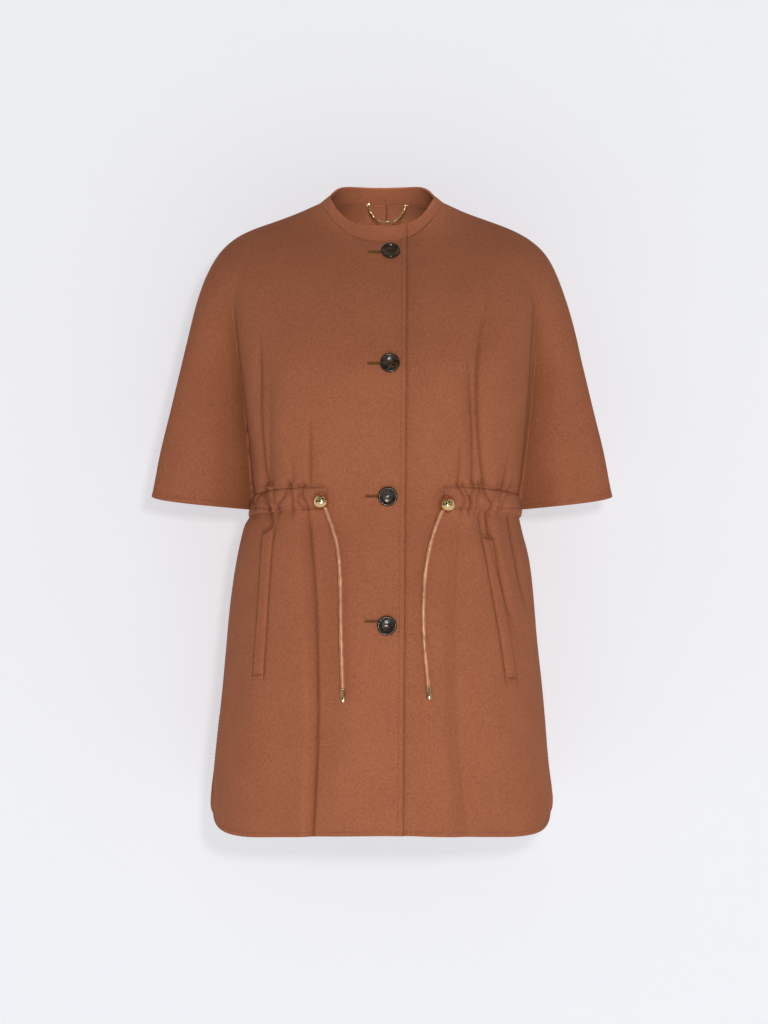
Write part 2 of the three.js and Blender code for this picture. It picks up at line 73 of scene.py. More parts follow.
def cell(word):
    """A word of a table as a number, where it is one."""
    return word if word.isalpha() else float(word)


def table(names, lines):
    """A dictionary for each line of values, or of text in columns, with the names as keys."""
    if isinstance(lines, str):
        lines = [map(cell, line.split()) for line in lines.strip().splitlines()]
    return [dict(zip(names.split(), line)) for line in lines]


def mix(a, b, t):
    return a + (b - a) * t


def smooth(t):
    t = np.clip(t, 0, 1)
    return t * t * (3 - 2 * t)


def bell(distance, width):
    return np.exp(-((distance / width) ** 2))


def linear(code, alpha=1.0):
    """An sRGB hex colour as the linear colour that Blender's nodes take."""
    parts = [int(code.lstrip("#")[k : k + 2], 16) / 255 for k in (0, 2, 4)]
    lit = [c / 12.92 if c <= 0.04045 else ((c + 0.055) / 1.055) ** 2.4 for c in parts]
    return (*lit, alpha)


# ------------------------------------------------------------------ the form of the cloth
# The same sections as the solids have: one line for each row round the body, from the neck seam (0)
# by the waist (12) to the hem (20).
CLOTH = 2.6
SEAM = 0.4
FRONT_EDGE = 27
EDGE_LEAN = [30, 25]  # how far the front edge is from the middle, at the neck and at the hem
EDGE_TOP = -54  # the height of the neck seam at the front
EDGE_LENGTH = 730
UNDER_EDGE = -15
CENTRE = 6
UNDERLAP = CLOTH + 0.9
LOBE_SHARE = 0.62
TIP_ROW = 12
HEM_ROW = 20
CORNER_WIDE = 130
CORNER_HIGH = 60
HEM = {"front": -769, "back": -783, "side": -786, "quarter": 165}  # heights, and a mean radius
VENT_TOP = -690
CASING_TOP = 11.7
CASING_FOOT = 12.43

ROWS = table(
    "front_z front_y back_z back_y ridge_x ridge_z power right left fold gap bulge dip",
    """
 -54  -80   10  72  78    1   2 150 150    0 24 24  0
 -62  -88   -3  80 103  -10   2 160 162    0 24 24  0
 -75  -97  -20  89 132  -21 2.1 170 174    0 24 24  0
 -92 -107  -40  98 160  -31 2.2 178 184    0 24 24  0
-112 -117  -62 105 184  -44 2.3 182 191 0.02 24 24  0
-135 -127  -88 111 203  -62 2.4 182 194 0.14 24 25  0
-160 -136 -118 115 218  -88 2.5 181 195 0.36 24 26  0
-186 -145 -150 117 230 -121 2.6 179 193 0.62 24 27  0
-213 -151 -184 117 241 -161 2.7 176 190 0.86 24 28  0
-243 -151 -222 115 252 -206 2.8 173 187    1 23 29  2
-278 -147 -264 110 264 -256 2.9 169 183    1 21 30  6
-320 -139 -314 103 277 -309 2.9 164 177    1 14 30 12
-365 -128 -365  96 288 -364 2.9 162 171    1  0 28 17
-395 -129 -395  98 300 -395 2.8 173 174    1  0 28 10
-440 -135 -440 103 300 -440 2.7 182 183    1  0 28  4
-500 -142 -500 109 300 -500 2.6 190 190    1  0 28  0
-565 -148 -565 115 300 -565 2.6 196 196    1  0 28  0
-630 -153 -630 120 300 -630 2.6 202 202    1  0 28  0
-690 -156 -690 124 300 -690 2.6 209 208    1  0 28  0
-740 -159 -740 127 300 -740 2.6 214 213    1  0 28  0
-784 -161 -784 129 300 -784 2.6 216 215    1  0 28  0
""",
)
FORM = {key: np.array([line[key] for line in ROWS]) for key in ROWS[0]}

# Folds and creases, pressed in along the cloth's normal. x_top, x_mid and x_end are distances from
# the middle at the heights top, their middle and end. near and far are the widths of the sides
# towards the middle and away from it. from_top and from_end are the lengths over which the ends
# fade. pinch is the depth of the sharp line along the bottom of the fold, and also sets how much
# shade is painted along it.
CREASES = table(
    "face side x_top x_mid x_end top end depth near far from_top from_end pinch",
    """
front -1   94 79.5    88 -374 -800  11 34  8  30   1   2
front -1  120  117   121 -520 -800   5 26 26 120   1   0
front -1   70   66    60 -400 -640   4 20 22  60 160   0
front -1  146  150   146 -140 -354   6 16  7  90   6 1.8
front -1  134  138   142 -200 -354 2.5  9  6  90   6 0.8
front -1 86.5 86.5  86.5 -255 -354 2.4  9  4  60   6 1.3
front -1  108  108 108.5 -305 -354 1.8  8  5  40   6 0.9
front -1  150  138   131 -352 -420   4  9  5   8  30   2
front -1  172  178   186 -430 -720   4 16 16  60 160   0
front -1  186  176   158  -60 -380   3  8  8  60  10 2.2
front  1 98.5 89.5   108 -374 -800   9 13 36  30   1 0.5
front  1   72   64    58 -376 -520   4 16 20  20 120   0
front  1  134  116   127  -96 -354 5.5 14  7 110   6 1.8
front  1  102  110   111 -190 -354 3.6 12  6  70   6 1.3
front  1 95.5   94    92 -285 -354 2.2  8  5  40   6   1
front  1  154  153   151 -300 -362 2.6  8  6  40   8 1.4
front  1  121  127   134 -378 -450   3  9  6   8  50 1.4
front  1  130  146   173 -378 -560   5 16  7   8 110 2.2
front  1  156  167   182 -382 -520   4 12  6   8  60 1.8
front  1  136  140   146 -600 -800   5 26 24 120   1   0
front  1  188  183   170  -90 -380   3  8  8  60  10 2.2
back  -1   96   92   104 -374 -800  12  9 36  30   1 1.6
back  -1  128  118   108 -120 -354   6  9 16 100   6 1.5
back  -1   82   80    78 -235 -354   3  6 10  70   6   1
back  -1  148  146   140 -270 -354   3  6 10  60   6 1.2
back  -1   40   44    52 -378 -640   4 14 20  10 200 0.8
back  -1  140  152   160 -378 -560 4.5  8 15   8  90 1.8
back  -1  182  174   160  -60 -380   3  8  8  60  10   2
back   1   84   90    92 -374 -800  12  9 36  30   1   2
back   1  132  120   114 -110 -354   6  9 16 100   6 1.5
back   1   74   76    72 -250 -354   3  6 10  70   6   1
back   1  150  148   144 -280 -354   3  6 10  60   6   1
back   1   36   40    46 -378 -600   4 14 20  10 180 0.8
back   1  138  148   158 -378 -540 4.5  8 15   8  90 1.8
back   1  194  184   168  -80 -380   3  8  8  60  10   2
""",
)

# Gathers at the drawn-in waist. x: where each crosses the middle of the casing. lean: how far it
# moves out for each millimetre that it drops. rise and drop: how far it shows above and below.
GATHERS = table(
    "face side x lean width depth rise drop",
    """
front -1  94 -0.05 3.2 3.7 10 26
front -1 100 -0.35   3 3.4  4 12
front -1 110  -0.2 3.4 3.7 18 20
front -1 121  0.55 4.2 3.1 12 10
front -1 133  -0.6 3.6 4.7 16 22
front -1 143  -0.3 3.4 3.7 26 14
front -1 152   0.2 3.4 3.7 20 24
front  1  97   0.2 3.2 3.4 10 24
front  1 104  0.25   3 3.4 12 16
front  1 110  -0.2 3.4   4 20 14
front  1 117  -0.1 3.4 3.7 14 22
front  1 129  0.25 3.6 4.3 12 26
front  1 139  -0.3 3.8 3.4 16 14
front  1 147  -0.4 3.6 4.3 18 24
front  1 154  -0.5 3.6   4 22 20
back  -1  16   0.1   4 2.8 16 22
back  -1  31  -0.2 4.2 3.4 20 30
back  -1  47  0.25 3.6 3.1 14 20
back  -1  61 -0.15   4 3.7 26 30
back  -1  74   0.3 3.6 3.4 16 18
back  -1  86 -0.25 3.6   4 22 26
back  -1  98   0.2 3.4 3.7 14 22
back  -1 109 -0.35 3.4   4 20 16
back  -1 120  0.25 3.6 3.7 16 24
back  -1 131  -0.2 3.4   4 20 20
back  -1 141   0.3 3.4 3.7 16 22
back   1  19 -0.15   4 3.1 18 26
back   1  34   0.2 3.8 3.4 16 20
back   1  50 -0.25   4 3.4 22 30
back   1  64  0.15 3.6 3.7 14 22
back   1  77  -0.3 3.8 3.7 22 20
back   1  89  0.25 3.6 3.7 16 28
back   1 101  -0.2 3.4   4 24 18
back   1 113   0.3 3.6 3.7 16 24
back   1 124 -0.25 3.4   4 18 20
back   1 135   0.2 3.4 3.7 18 24
back   1 145  -0.3 3.4 3.7 20 18
""",
)
WELT = {"half": 6.4, "thick": 2.3}
# By side: how far a welt's line is from the middle, and the heights of its upper corners and end.
WELT_LINES = {
    -1: {"top_x": 138, "end_x": 151.5, "inner_top": -397, "outer_top": -409, "end": -590},
    1: {"top_x": 132, "end_x": 158.5, "inner_top": -410, "outer_top": -414, "end": -594},
}
CASING_SINK = 2.0  # how far the casing presses the panel under it in
STITCH_PINCH = 2.0  # how far its two lines of stitches pull the cloth in
NECK_PINCH = 0.7  # how far the neck seam draws the cloth in
ARM_SHADE = {-1: 1.0, 1: 0.35}  # how dark the shadow painted on each sleeve beside the body is
EDGE_CURL = 0.9  # how far the front edge stands off
EDGE_ROLL = 6  # over how much of its width it does
EDGE_SHADOW, EDGE_SHADOW_WIDE = 1.3, 0.9  # the shadow painted along the edge, and how wide it is
LAP_LINE, LAP_LINE_WIDE = 1.6, 1.3  # the shade that it leaves on the front below
SEAM_DIP, SEAM_SHADE = 0.5, 1.2  # how far the centre back seam is drawn in, and how much shade is painted along it
CASING_MIDDLE = -365.5
CASING_HALF = 13.0


def row_value(key, row):
    """A column of ROWS at row numbers that need not be whole, on a smooth curve through it."""
    line = FORM[key]
    last = len(line) - 1
    i = np.clip(np.floor(row).astype(int), 0, last - 1)
    t = row - i
    a, b, c, d = (line[np.clip(i + k, 0, last)] for k in (-1, 0, 1, 2))
    inner, outer = (c - a) / 2, (d - b) / 2
    bend = inner + t * (3 * (c - b) - 2 * inner - outer)
    return b + t * bend + t**3 * (inner + outer - 2 * (c - b))


def form_point(face, side, across, row):
    """Points of the plain outer face, in millimetres. across is 0 at the middle, LOBE_SHARE where
    body and sleeve part and 1 on the ridge."""
    across, row = np.broadcast_arrays(np.asarray(across, float), np.asarray(row, float))
    out = -1 if face == "front" else 1
    depth = row_value(face + "_y", row)
    power = row_value("power", row)
    half = row_value("right" if side < 0 else "left", row)
    fold = np.clip(row_value("fold", row), 0, 1)
    gap = np.maximum(row_value("gap", row), 0) + SEAM / 2
    span = row_value("ridge_x", row)

    turn = across * math.pi / 2
    rest = np.sqrt(np.maximum(0, 1 - np.abs(np.sin(turn)) ** power))
    plain_x, plain_y = span * np.sin(turn), mix(out * SEAM / 2, depth, rest)

    body_turn = np.minimum(across / LOBE_SHARE, 1) * math.pi / 2
    s = np.abs(np.sin(body_turn)) ** power
    body_x = half * np.sin(body_turn)
    body_y = mix(out * gap, depth, np.sqrt(np.maximum(0, 1 - s)))

    w = np.sin(np.clip((across - LOBE_SHARE) / (1 - LOBE_SHARE), 0, 1) * math.pi / 2)
    thick = mix(gap, row_value("bulge", row), smooth(w * 2.2))
    sleeve_x = mix(half, span, w)
    sleeve_y = out * SEAM / 2 + out * thick * np.sqrt(np.maximum(0, 1 - w**4))

    on_body = across <= LOBE_SHARE
    x = mix(plain_x, np.where(on_body, body_x, sleeve_x), fold)
    y = mix(plain_y, np.where(on_body, body_y, sleeve_y), fold)

    lift = np.where(row <= TIP_ROW, np.abs(np.sin(turn)) ** 2.5, 0)
    reach = np.clip(across / LOBE_SHARE, 0, 1)
    back = np.clip((1 - across) / (1 - LOBE_SHARE), 0, 1)
    z = mix(row_value(face + "_z", row), row_value("ridge_z", row), lift)
    z = z - np.minimum(reach**2, back) * row_value("dip", row)

    if face == "front" and side > 0:
        rise = row_value("front_z", row + 0.2) - row_value("front_z", row - 0.2)
        run = row_value("front_y", row + 0.2) - row_value("front_y", row - 0.2)
        behind = UNDERLAP * np.hypot(1, run / rise)
        y = y + behind * (1 - smooth((x - EDGE_LEAN[0] - 2) / 24))
    return np.stack([side * x, y, z], -1)


def solve(low, high, above):
    """The values between low and high up to which above(value) holds, by halving."""
    for _ in range(22):
        middle = (low + high) / 2
        up = above(middle)
        low, high = np.where(up, middle, low), np.where(up, high, middle)
    return (low + high) / 2


def across_at(face, side, row, x):
    """Where rows have that distance from the middle, on the body."""
    row = np.asarray(row, float)
    low = np.full(row.shape, -0.4)
    high = np.where(row < 6, 0.98, LOBE_SHARE * 0.99)
    return solve(low, high, lambda a: form_point(face, side, a, row)[..., 0] * side < x)


def row_at(face, side, x, z):
    """The row that has that height, at a distance from the middle."""
    z = np.asarray(z, float)
    low, high = np.zeros(z.shape), np.full(z.shape, float(HEM_ROW))

    def above(row):
        return form_point(face, side, across_at(face, side, row, x), row)[..., 2] > z

    return solve(low, high, above)


def cut_row(face, across, row):
    """Rows below the waist, moved so that the last one follows the hem and its rounded corner."""
    share = np.clip(across / LOBE_SHARE, -1, 1)
    level = mix(HEM[face], HEM["side"], np.abs(share) ** 1.5)
    from_side = (1 - np.abs(share)) * math.pi / 2 * HEM["quarter"]
    into = np.clip(1 - from_side / CORNER_WIDE, 0, 1)
    hem = level + CORNER_HIGH * (1 - np.sqrt(1 - into**2))
    waist = row_value(face + "_z", np.asarray(float(TIP_ROW)))
    whole = row_value(face + "_z", np.asarray(float(HEM_ROW)))
    wanted = mix(waist, hem, (row_value(face + "_z", row) - waist) / (whole - waist))
    rows = np.linspace(TIP_ROW, HEM_ROW + 0.2, 400)
    heights = row_value(face + "_z", rows)
    return np.where(row <= TIP_ROW, row, np.interp(-wanted, -heights, rows))


def bare_point(face, side, across, row):
    """The plain form with the hem's cut and the spread of the vents."""
    across, row = np.broadcast_arrays(np.asarray(across, float), np.asarray(row, float))
    p = form_point(face, side, across, cut_row(face, across, row))
    spread = smooth((VENT_TOP - p[..., 2]) / 90) * smooth((across - 0.4) / 0.22)
    p[..., 0] -= side * spread * (4 if face == "front" else -1.5)
    p[..., 1] += spread * (-5 if face == "front" else 3)
    return p


def front_edge(z):
    """How far the fronts' lapped edge is from the middle at heights z."""
    return mix(*EDGE_LEAN, np.clip((EDGE_TOP - z) / EDGE_LENGTH, 0, 1))


def normal_of(face, side, across, row):
    """The outward normals of the plain form."""
    a, r = 0.003, 0.03
    u = bare_point(face, side, across + a, row) - bare_point(face, side, across - a, row)
    v = bare_point(face, side, across, row + r) - bare_point(face, side, across, row - r)
    n = np.cross(u, v)
    n /= np.maximum(np.linalg.norm(n, axis=-1, keepdims=True), 1e-9)
    outward = 1 if (face == "back") == (side > 0) else -1
    return n * outward


def crease_depth(face, side, x, z):
    """How deep the folds press the cloth in at distances x from the middle and heights z, and how
    deep their sharp lines are, which also sets the shade painted along them."""
    soft, pinch_and_painted_shade = np.zeros(x.shape), np.zeros(x.shape)
    for c in CREASES:
        if c["face"] != face or c["side"] != side:
            continue
        ends = smooth((c["top"] - z) / c["from_top"])
        if c["from_end"] > 1:
            ends = ends * smooth((z - c["end"]) / c["from_end"])
        k = np.clip((c["top"] - z) / (c["top"] - c["end"]), 0, 1)
        bow = 2 * c["x_mid"] - (c["x_top"] + c["x_end"]) / 2
        away = x - ((1 - k) ** 2 * c["x_top"] + 2 * k * (1 - k) * bow + k**2 * c["x_end"])
        soft += c["depth"] * ends * bell(away, np.where(away > 0, c["far"], c["near"]))
        pinch_and_painted_shade += c["pinch"] * ends * bell(away, 1.9)
    return soft, pinch_and_painted_shade


def gather_depth(face, side, x, z):
    """The small drawn-in folds at the waist: their depth, and how deep their sharp lines are, which
    also sets the shade painted along them.
    """
    drop = CASING_MIDDLE - z
    soft, pinch_and_painted_shade = np.zeros(x.shape), np.zeros(x.shape)
    for g in GATHERS:
        if g["face"] != face or g["side"] != side:
            continue
        beyond = np.maximum(np.abs(drop) - CASING_HALF, 0)
        reach = 0.5 if face == "front" else 1.0
        fade = bell(beyond, reach * np.where(drop > 0, g["drop"], g["rise"]))
        inside = np.clip(drop / CASING_HALF, -1, 1)
        sway = 2.3 * np.sin(inside * 2.4 + g["x"] * 1.7)
        away = x - g["x"] - g["lean"] * inside * CASING_HALF - sway
        soft += g["depth"] * 0.95 * fade * bell(away, g["width"] * (1 + beyond / 22))
        pinch_and_painted_shade += g["depth"] * 0.3 * fade**2 * bell(away, 1.4)
    return soft, pinch_and_painted_shade


def welt_edges(side, x, z):
    """1 along the two long edges of a pocket welt and 0 away from them."""
    w = WELT_LINES[side]
    t = (z - w["inner_top"]) / (w["end"] - w["inner_top"])
    there = smooth(t * 14) * smooth((1 - t) * 40)
    line = mix(w["top_x"], w["end_x"], t)
    return there * bell(np.abs(x - line) - WELT["half"] - 0.3, 1.5)


def slow_wave(p):
    """Very shallow unevenness of hanging cloth."""
    x, y, z = p[..., 0], p[..., 1], p[..., 2]
    wave = np.sin(x / 23 + z / 61 + 0.6) * np.sin(z / 47 - y / 39 + 1.1)
    return 0.55 * wave + 0.35 * np.sin(x / 13 - z / 29 + y / 17)


def cloth_point(face, side, across, row, lift=0.0, on_casing=False, lines=False):
    """Points of the finished outer face, with its folds and gathers, and with lines how much shade
    is painted at each: along the sharp lines of its folds and gathers, and along its seams, edges
    and welts and beside the body."""
    across, row = np.broadcast_arrays(np.asarray(across, float), np.asarray(row, float))
    p = bare_point(face, side, across, row)
    n = normal_of(face, side, across, row)
    x, z = p[..., 0] * side, p[..., 2]
    rim = np.cos(np.clip(across / LOBE_SHARE, 0, 1) * math.pi / 2) ** 0.35
    body = np.where(across < LOBE_SHARE, rim, 0)
    creased, crease_line = crease_depth(face, side, x, z)
    gathered, gather_line = gather_depth(face, side, x, z)
    from_x = 62 if face == "front" else -1
    there = body * smooth((x - from_x) / 14)
    level = np.abs(z - CASING_MIDDLE)
    pinch = there * bell(level - CASING_HALF, 1.9)
    # Folds' and gathers' sharp lines press the cloth in and set the shade painted along them.
    pinch_and_painted_shade = body * (crease_line + gather_line)
    deep = body * (creased + gathered) + pinch_and_painted_shade + STITCH_PINCH * pinch
    # Shade painted along the casing's two lines of stitches.
    pinch_and_painted_shade = pinch_and_painted_shade + 0.4 * pinch
    deep = deep + slow_wave(p) * np.where(across > 0.98, 0, 1)
    if face == "front":
        edges = welt_edges(side, x, z)
        # The welts' edges press the cloth in and have shade painted beside them.
        deep, pinch_and_painted_shade = deep + 0.9 * edges, pinch_and_painted_shade + 1.3 * edges
    inner = 1 - np.clip(np.abs(across), 0, 1) ** 2
    deep = deep + inner * (NECK_PINCH * bell(row, 0.35) - 0.9 * bell(row - 1.3, 0.5))
    if face == "front" and side < 0:
        from_edge = x + front_edge(z)
        deep = deep - EDGE_CURL * smooth(1 - from_edge / EDGE_ROLL)
        # Painted shadow along the lapped front edge.
        pinch_and_painted_shade = pinch_and_painted_shade + EDGE_SHADOW * bell(from_edge, EDGE_SHADOW_WIDE)
    if face == "front" and side > 0:
        pinch_and_painted_shade = pinch_and_painted_shade + LAP_LINE * bell(x - front_edge(z), LAP_LINE_WIDE)
    if face == "back":
        from_seam = x - side * CENTRE
        deep = deep + SEAM_DIP * bell(from_seam, 1.2)
        # Shade painted along the centre back seam.
        pinch_and_painted_shade = pinch_and_painted_shade + SEAM_SHADE * bell(from_seam, 1.0)
    # Painted shadow in the valley between body and sleeve, and on the sleeve beside it.
    under_arm = smooth((row - 5) / 5) * (across > LOBE_SHARE)
    from_body = across - LOBE_SHARE
    arm_painted_shadow = 1.1 * bell(from_body, 0.03) + ARM_SHADE[side] * bell(from_body, 0.09)
    pinch_and_painted_shade = pinch_and_painted_shade + under_arm * arm_painted_shadow
    if not on_casing:
        deep = deep + there * CASING_SINK * smooth((CASING_HALF - 1 - level) / 4)
    p = p + n * (np.asarray(lift, float) - deep)[..., None]
    return (p, pinch_and_painted_shade) if lines else p


# ------------------------------------------------------------------ materials


def add_node(tree, kind, settings=None, stops=(), **inputs):
    """A node with its settings and its colour stops (position, hex colour), and with its inputs set
    or linked by socket name, or by number after an i."""
    node = tree.nodes.new(kind)
    for key, value in (settings or {}).items():
        setattr(node, key, value)
    band = node.color_ramp.elements if stops else []
    while len(band) < len(stops):
        band.new(0.5)
    for element, (position, code) in zip(band, stops):
        element.position, element.color = position, linear(code)
    for key, value in inputs.items():
        socket = node.inputs[int(key[1:]) if key[1:].isdigit() else key.replace("_", " ")]
        if isinstance(value, bpy.types.NodeSocket):
            tree.links.new(value, socket)
        else:
            socket.default_value = value
    return node


def new_material(name):
    """An empty material, its tree, its object coordinates and its output."""
    material = bpy.data.materials.new(name)
    material.use_nodes = True
    tree = material.node_tree
    tree.nodes.clear()
    place = tree.nodes.new("ShaderNodeTexCoord").outputs["Object"]
    return material, tree, place


def finish_material(tree, shader):
    out = tree.nodes.new("ShaderNodeOutputMaterial")
    tree.links.new(shader.outputs[0], out.inputs["Surface"])


def wool_cloth(sizes):
    """Double-faced wool, fulled and brushed: a soft nap hides the weave, so the eye gets an even
    matt brown with a fine mottle. Shade is painted into its colour along sharp folds, seams and
    edges, and on the sleeves beside the body: the fold attribute darkens it towards a deep brown."""
    material, tree, place = new_material("double_faced_wool")
    per_mm = 1 / MM
    nap = sizes.nap_mm  # one tuft of nap, drawn about twice as coarse as it is so that it shows
    fibre = add_node(tree, "ShaderNodeMapping", Vector=place, Scale=(1, 1, 0.42)).outputs[0]
    tuft = add_node(
        tree, "ShaderNodeTexNoise", Vector=fibre, Scale=per_mm / nap, Detail=3.0, Roughness=0.6
    ).outputs["Fac"]
    fleck = add_node(
        tree, "ShaderNodeTexNoise", Vector=place, Scale=per_mm / (nap * 2.6), Detail=2.0
    ).outputs["Fac"]
    cloud = add_node(
        tree, "ShaderNodeTexNoise", Vector=place, Scale=per_mm / 45, Detail=2.0, Roughness=0.45
    ).outputs["Fac"]
    fine = add_node(tree, "ShaderNodeMath", {"operation": "ADD"}, i0=tuft, i1=fleck).outputs[0]
    even = add_node(
        tree, "ShaderNodeMath", {"operation": "MULTIPLY_ADD"}, i0=cloud, i1=0.3, i2=fine
    ).outputs[0]
    tone = add_node(
        tree, "ShaderNodeMapRange", Value=even, From_Min=0.65, From_Max=1.65
    ).outputs[0]
    shades = [(0.0, sizes.wool_deep), (0.5, sizes.wool_mid), (1.0, sizes.wool_light)]
    colour = add_node(tree, "ShaderNodeValToRGB", stops=shades, Fac=tone).outputs[0]
    # Painted shade: the fold attribute says how much shade is painted in at each point.
    fold = add_node(tree, "ShaderNodeAttribute", {"attribute_name": "fold"}).outputs["Fac"]
    painted_shade_amount = add_node(
        tree, "ShaderNodeMapRange", Value=fold, From_Max=2.4, To_Max=0.72
    ).outputs[0]
    blend = {"data_type": "RGBA"}
    # The deep brown that the painted shade darkens the cloth towards.
    deep = linear(sizes.wool_painted_shade)
    painted_shade_mix = add_node(
        tree, "ShaderNodeMix", blend, Factor=painted_shade_amount, i6=colour, i7=deep
    ).outputs[2]
    bump = add_node(
        tree, "ShaderNodeBump", Strength=0.22, Distance=0.4 * MM, Height=fine
    ).outputs[0]
    shader = add_node(
        tree,
        "ShaderNodeBsdfPrincipled",
        Base_Color=painted_shade_mix,
        Roughness=0.92,
        Normal=bump,
        Sheen_Weight=0.04,
        Sheen_Roughness=0.4,
        Sheen_Tint=linear("#e0b090"),
    )
    shader.inputs["Specular IOR Level"].default_value = 0.07
    finish_material(tree, shader)
    return material


def wool_thread(name, code):
    """Twisted sewing thread: matt, with the twist as fine slanting bands and shade painted into the
    grooves between them.
    """
    material, tree, place = new_material(name)
    twist = add_node(
        tree,
        "ShaderNodeTexWave",
        {"bands_direction": "DIAGONAL"},
        Vector=place,
        Scale=0.5 / (0.6 * MM),
        Distortion=1.0,
    ).outputs["Fac"]
    # A darker copy of the colour, painted into the grooves of the twist as shade.
    shade = tuple(0.8 * part for part in linear(code)[:3])
    lit = add_node(
        tree,
        "ShaderNodeMix",
        {"data_type": "RGBA"},
        Factor=twist,
        i6=(*shade, 1.0),
        i7=linear(code),
    ).outputs[2]
    bump = add_node(tree, "ShaderNodeBump", Strength=0.4, Distance=0.1 * MM, Height=twist)
    shader = add_node(
        tree,
        "ShaderNodeBsdfPrincipled",
        Base_Color=lit,
        Roughness=0.7,
        Normal=bump.outputs[0],
    )
    finish_material(tree, shader)
    return material


def dark_horn():
    """Polished buffalo horn: near black with brown streaks under a glossy face."""
    material, tree, place = new_material("polished_dark_horn")
    drawn = add_node(tree, "ShaderNodeMapping", Vector=place, Scale=(1, 1, 2.4)).outputs[0]
    streak = add_node(
        tree,
        "ShaderNodeTexNoise",
        Vector=drawn,
        Scale=1 / (4.5 * MM),
        Detail=4.0,
        Distortion=1.2,
    ).outputs["Fac"]
    shades = [(0.36, "#0b0805"), (0.52, "#22180d"), (0.68, "#5e4425")]
    colour = add_node(tree, "ShaderNodeValToRGB", stops=shades, Fac=streak).outputs[0]
    scratch = add_node(tree, "ShaderNodeTexNoise", Vector=place, Scale=1 / (0.8 * MM)).outputs[0]
    rough = add_node(tree, "ShaderNodeMapRange", Value=scratch, To_Min=0.17, To_Max=0.27)
    shader = add_node(
        tree,
        "ShaderNodeBsdfPrincipled",
        Base_Color=colour,
        Roughness=rough.outputs[0],
        IOR=1.42,
    )
    finish_material(tree, shader)
    return material


def pale_gilt(name, smoothest, roughest):
    """Gilt brass: a warm mirror with faint handling marks when polished, brighter and softer when
    it is only tumbled, as small links are."""
    material, tree, place = new_material(name)
    marks = add_node(tree, "ShaderNodeTexNoise", Vector=place, Scale=1 / (1.6 * MM), Detail=4.0)
    rough = add_node(
        tree, "ShaderNodeMapRange", Value=marks.outputs[0], To_Min=smoothest, To_Max=roughest
    ).outputs[0]
    shades = [(0.3, "#d2ae78"), (0.7, "#e6c796")]
    colour = add_node(tree, "ShaderNodeValToRGB", stops=shades, Fac=marks.outputs[0]).outputs[0]
    shader = add_node(
        tree, "ShaderNodeBsdfPrincipled", Base_Color=colour, Metallic=1.0, Roughness=rough
    )
    finish_material(tree, shader)
    return material


def cord_leather(sizes):
    """Round leather cord: tan, smooth and waxed, with a fine grain that breaks its highlight."""
    material, tree, place = new_material("waxed_cord_leather")
    pores = add_node(
        tree, "ShaderNodeTexVoronoi", Vector=place, Scale=1 / (0.7 * MM)
    ).outputs["Distance"]
    stain = add_node(tree, "ShaderNodeTexNoise", Vector=place, Scale=1 / (9 * MM), Detail=3.0)
    shades = [(0.3, sizes.cord_deep), (0.7, sizes.cord_light)]
    colour = add_node(tree, "ShaderNodeValToRGB", stops=shades, Fac=stain.outputs[0]).outputs[0]
    bump = add_node(tree, "ShaderNodeBump", Strength=0.25, Distance=0.12 * MM, Height=pores)
    shader = add_node(
        tree,
        "ShaderNodeBsdfPrincipled",
        Base_Color=colour,
        Roughness=0.36,
        Normal=bump.outputs[0],
        Coat_Weight=0.35,
        Coat_Roughness=0.16,
    )
    finish_material(tree, shader)
    return material


def painted_wall(name, code, glow):
    """Matt emulsion on a studio wall that is lit evenly by itself. Its back is clear, so that the
    coat shows from behind."""
    material, tree, place = new_material(name)
    grain = add_node(tree, "ShaderNodeTexNoise", Vector=place, Scale=1 / (2 * MM))
    bump = add_node(
        tree, "ShaderNodeBump", Strength=0.02, Distance=0.2 * MM, Height=grain.outputs[0]
    )
    paint = add_node(
        tree,
        "ShaderNodeBsdfPrincipled",
        Base_Color=linear(code),
        Roughness=1.0,
        Normal=bump.outputs[0],
        Emission_Color=linear("#ecedf1"),
        Emission_Strength=glow,
    ).outputs[0]
    paint.node.inputs["Specular IOR Level"].default_value = 0.0
    clear = add_node(tree, "ShaderNodeBsdfTransparent").outputs[0]
    behind = tree.nodes.new("ShaderNodeNewGeometry").outputs["Backfacing"]
    shader = add_node(tree, "ShaderNodeMixShader", i0=behind, i1=paint, i2=clear)
    finish_material(tree, shader)
    return material


FINISHES = {}


def finish(name):
    """A material of the coat, made once."""
    if name not in FINISHES:
        sizes = bpy.context.scene.coat_looks
        makers = {
            "wool": lambda: wool_cloth(sizes),
            "thread": lambda: wool_thread("matching_thread", sizes.thread),
            "buttonhole": lambda: wool_thread("buttonhole_thread", sizes.buttonhole),
            "horn": dark_horn,
            "gilt": lambda: pale_gilt("pale_gilt_brass", 0.06, 0.14),
            "links": lambda: pale_gilt("tumbled_gilt_brass", 0.2, 0.3),
            # A painted shadow for the buttonholes' slits, and the dark thread that sews the buttons
            # on.
            "shade": lambda: wool_thread("painted_slit_shadow_and_button_thread", sizes.slit),
            "leather": lambda: cord_leather(sizes),
            "wall": lambda: painted_wall("studio_emulsion", sizes.backdrop, sizes.wall_glow),
        }
        FINISHES[name] = makers[name]()
    return FINISHES[name]


# ------------------------------------------------------------------ mesh helpers


def new_object(name, bm, material, flat=False):
    """Turns a bmesh into a finished object at the origin."""
    if not bm.faces:
        raise RuntimeError(f"{name} came out without faces")
    return show(mesh_of(name, bm), material, flat)


def mesh_of(name, bm):
    """A mesh from a bmesh, which is let go."""
    mesh = bpy.data.meshes.new(name)
    bm.to_mesh(mesh)
    bm.free()
    return mesh


def show(mesh, material, flat=False):
    """A smooth object of a mesh, in its finish."""
    mesh.materials.append(material)
    obj = bpy.data.objects.new(mesh.name, mesh)
    bpy.context.collection.objects.link(obj)
    mesh.polygons.foreach_set("use_smooth", [not flat] * len(mesh.polygons))
    return obj


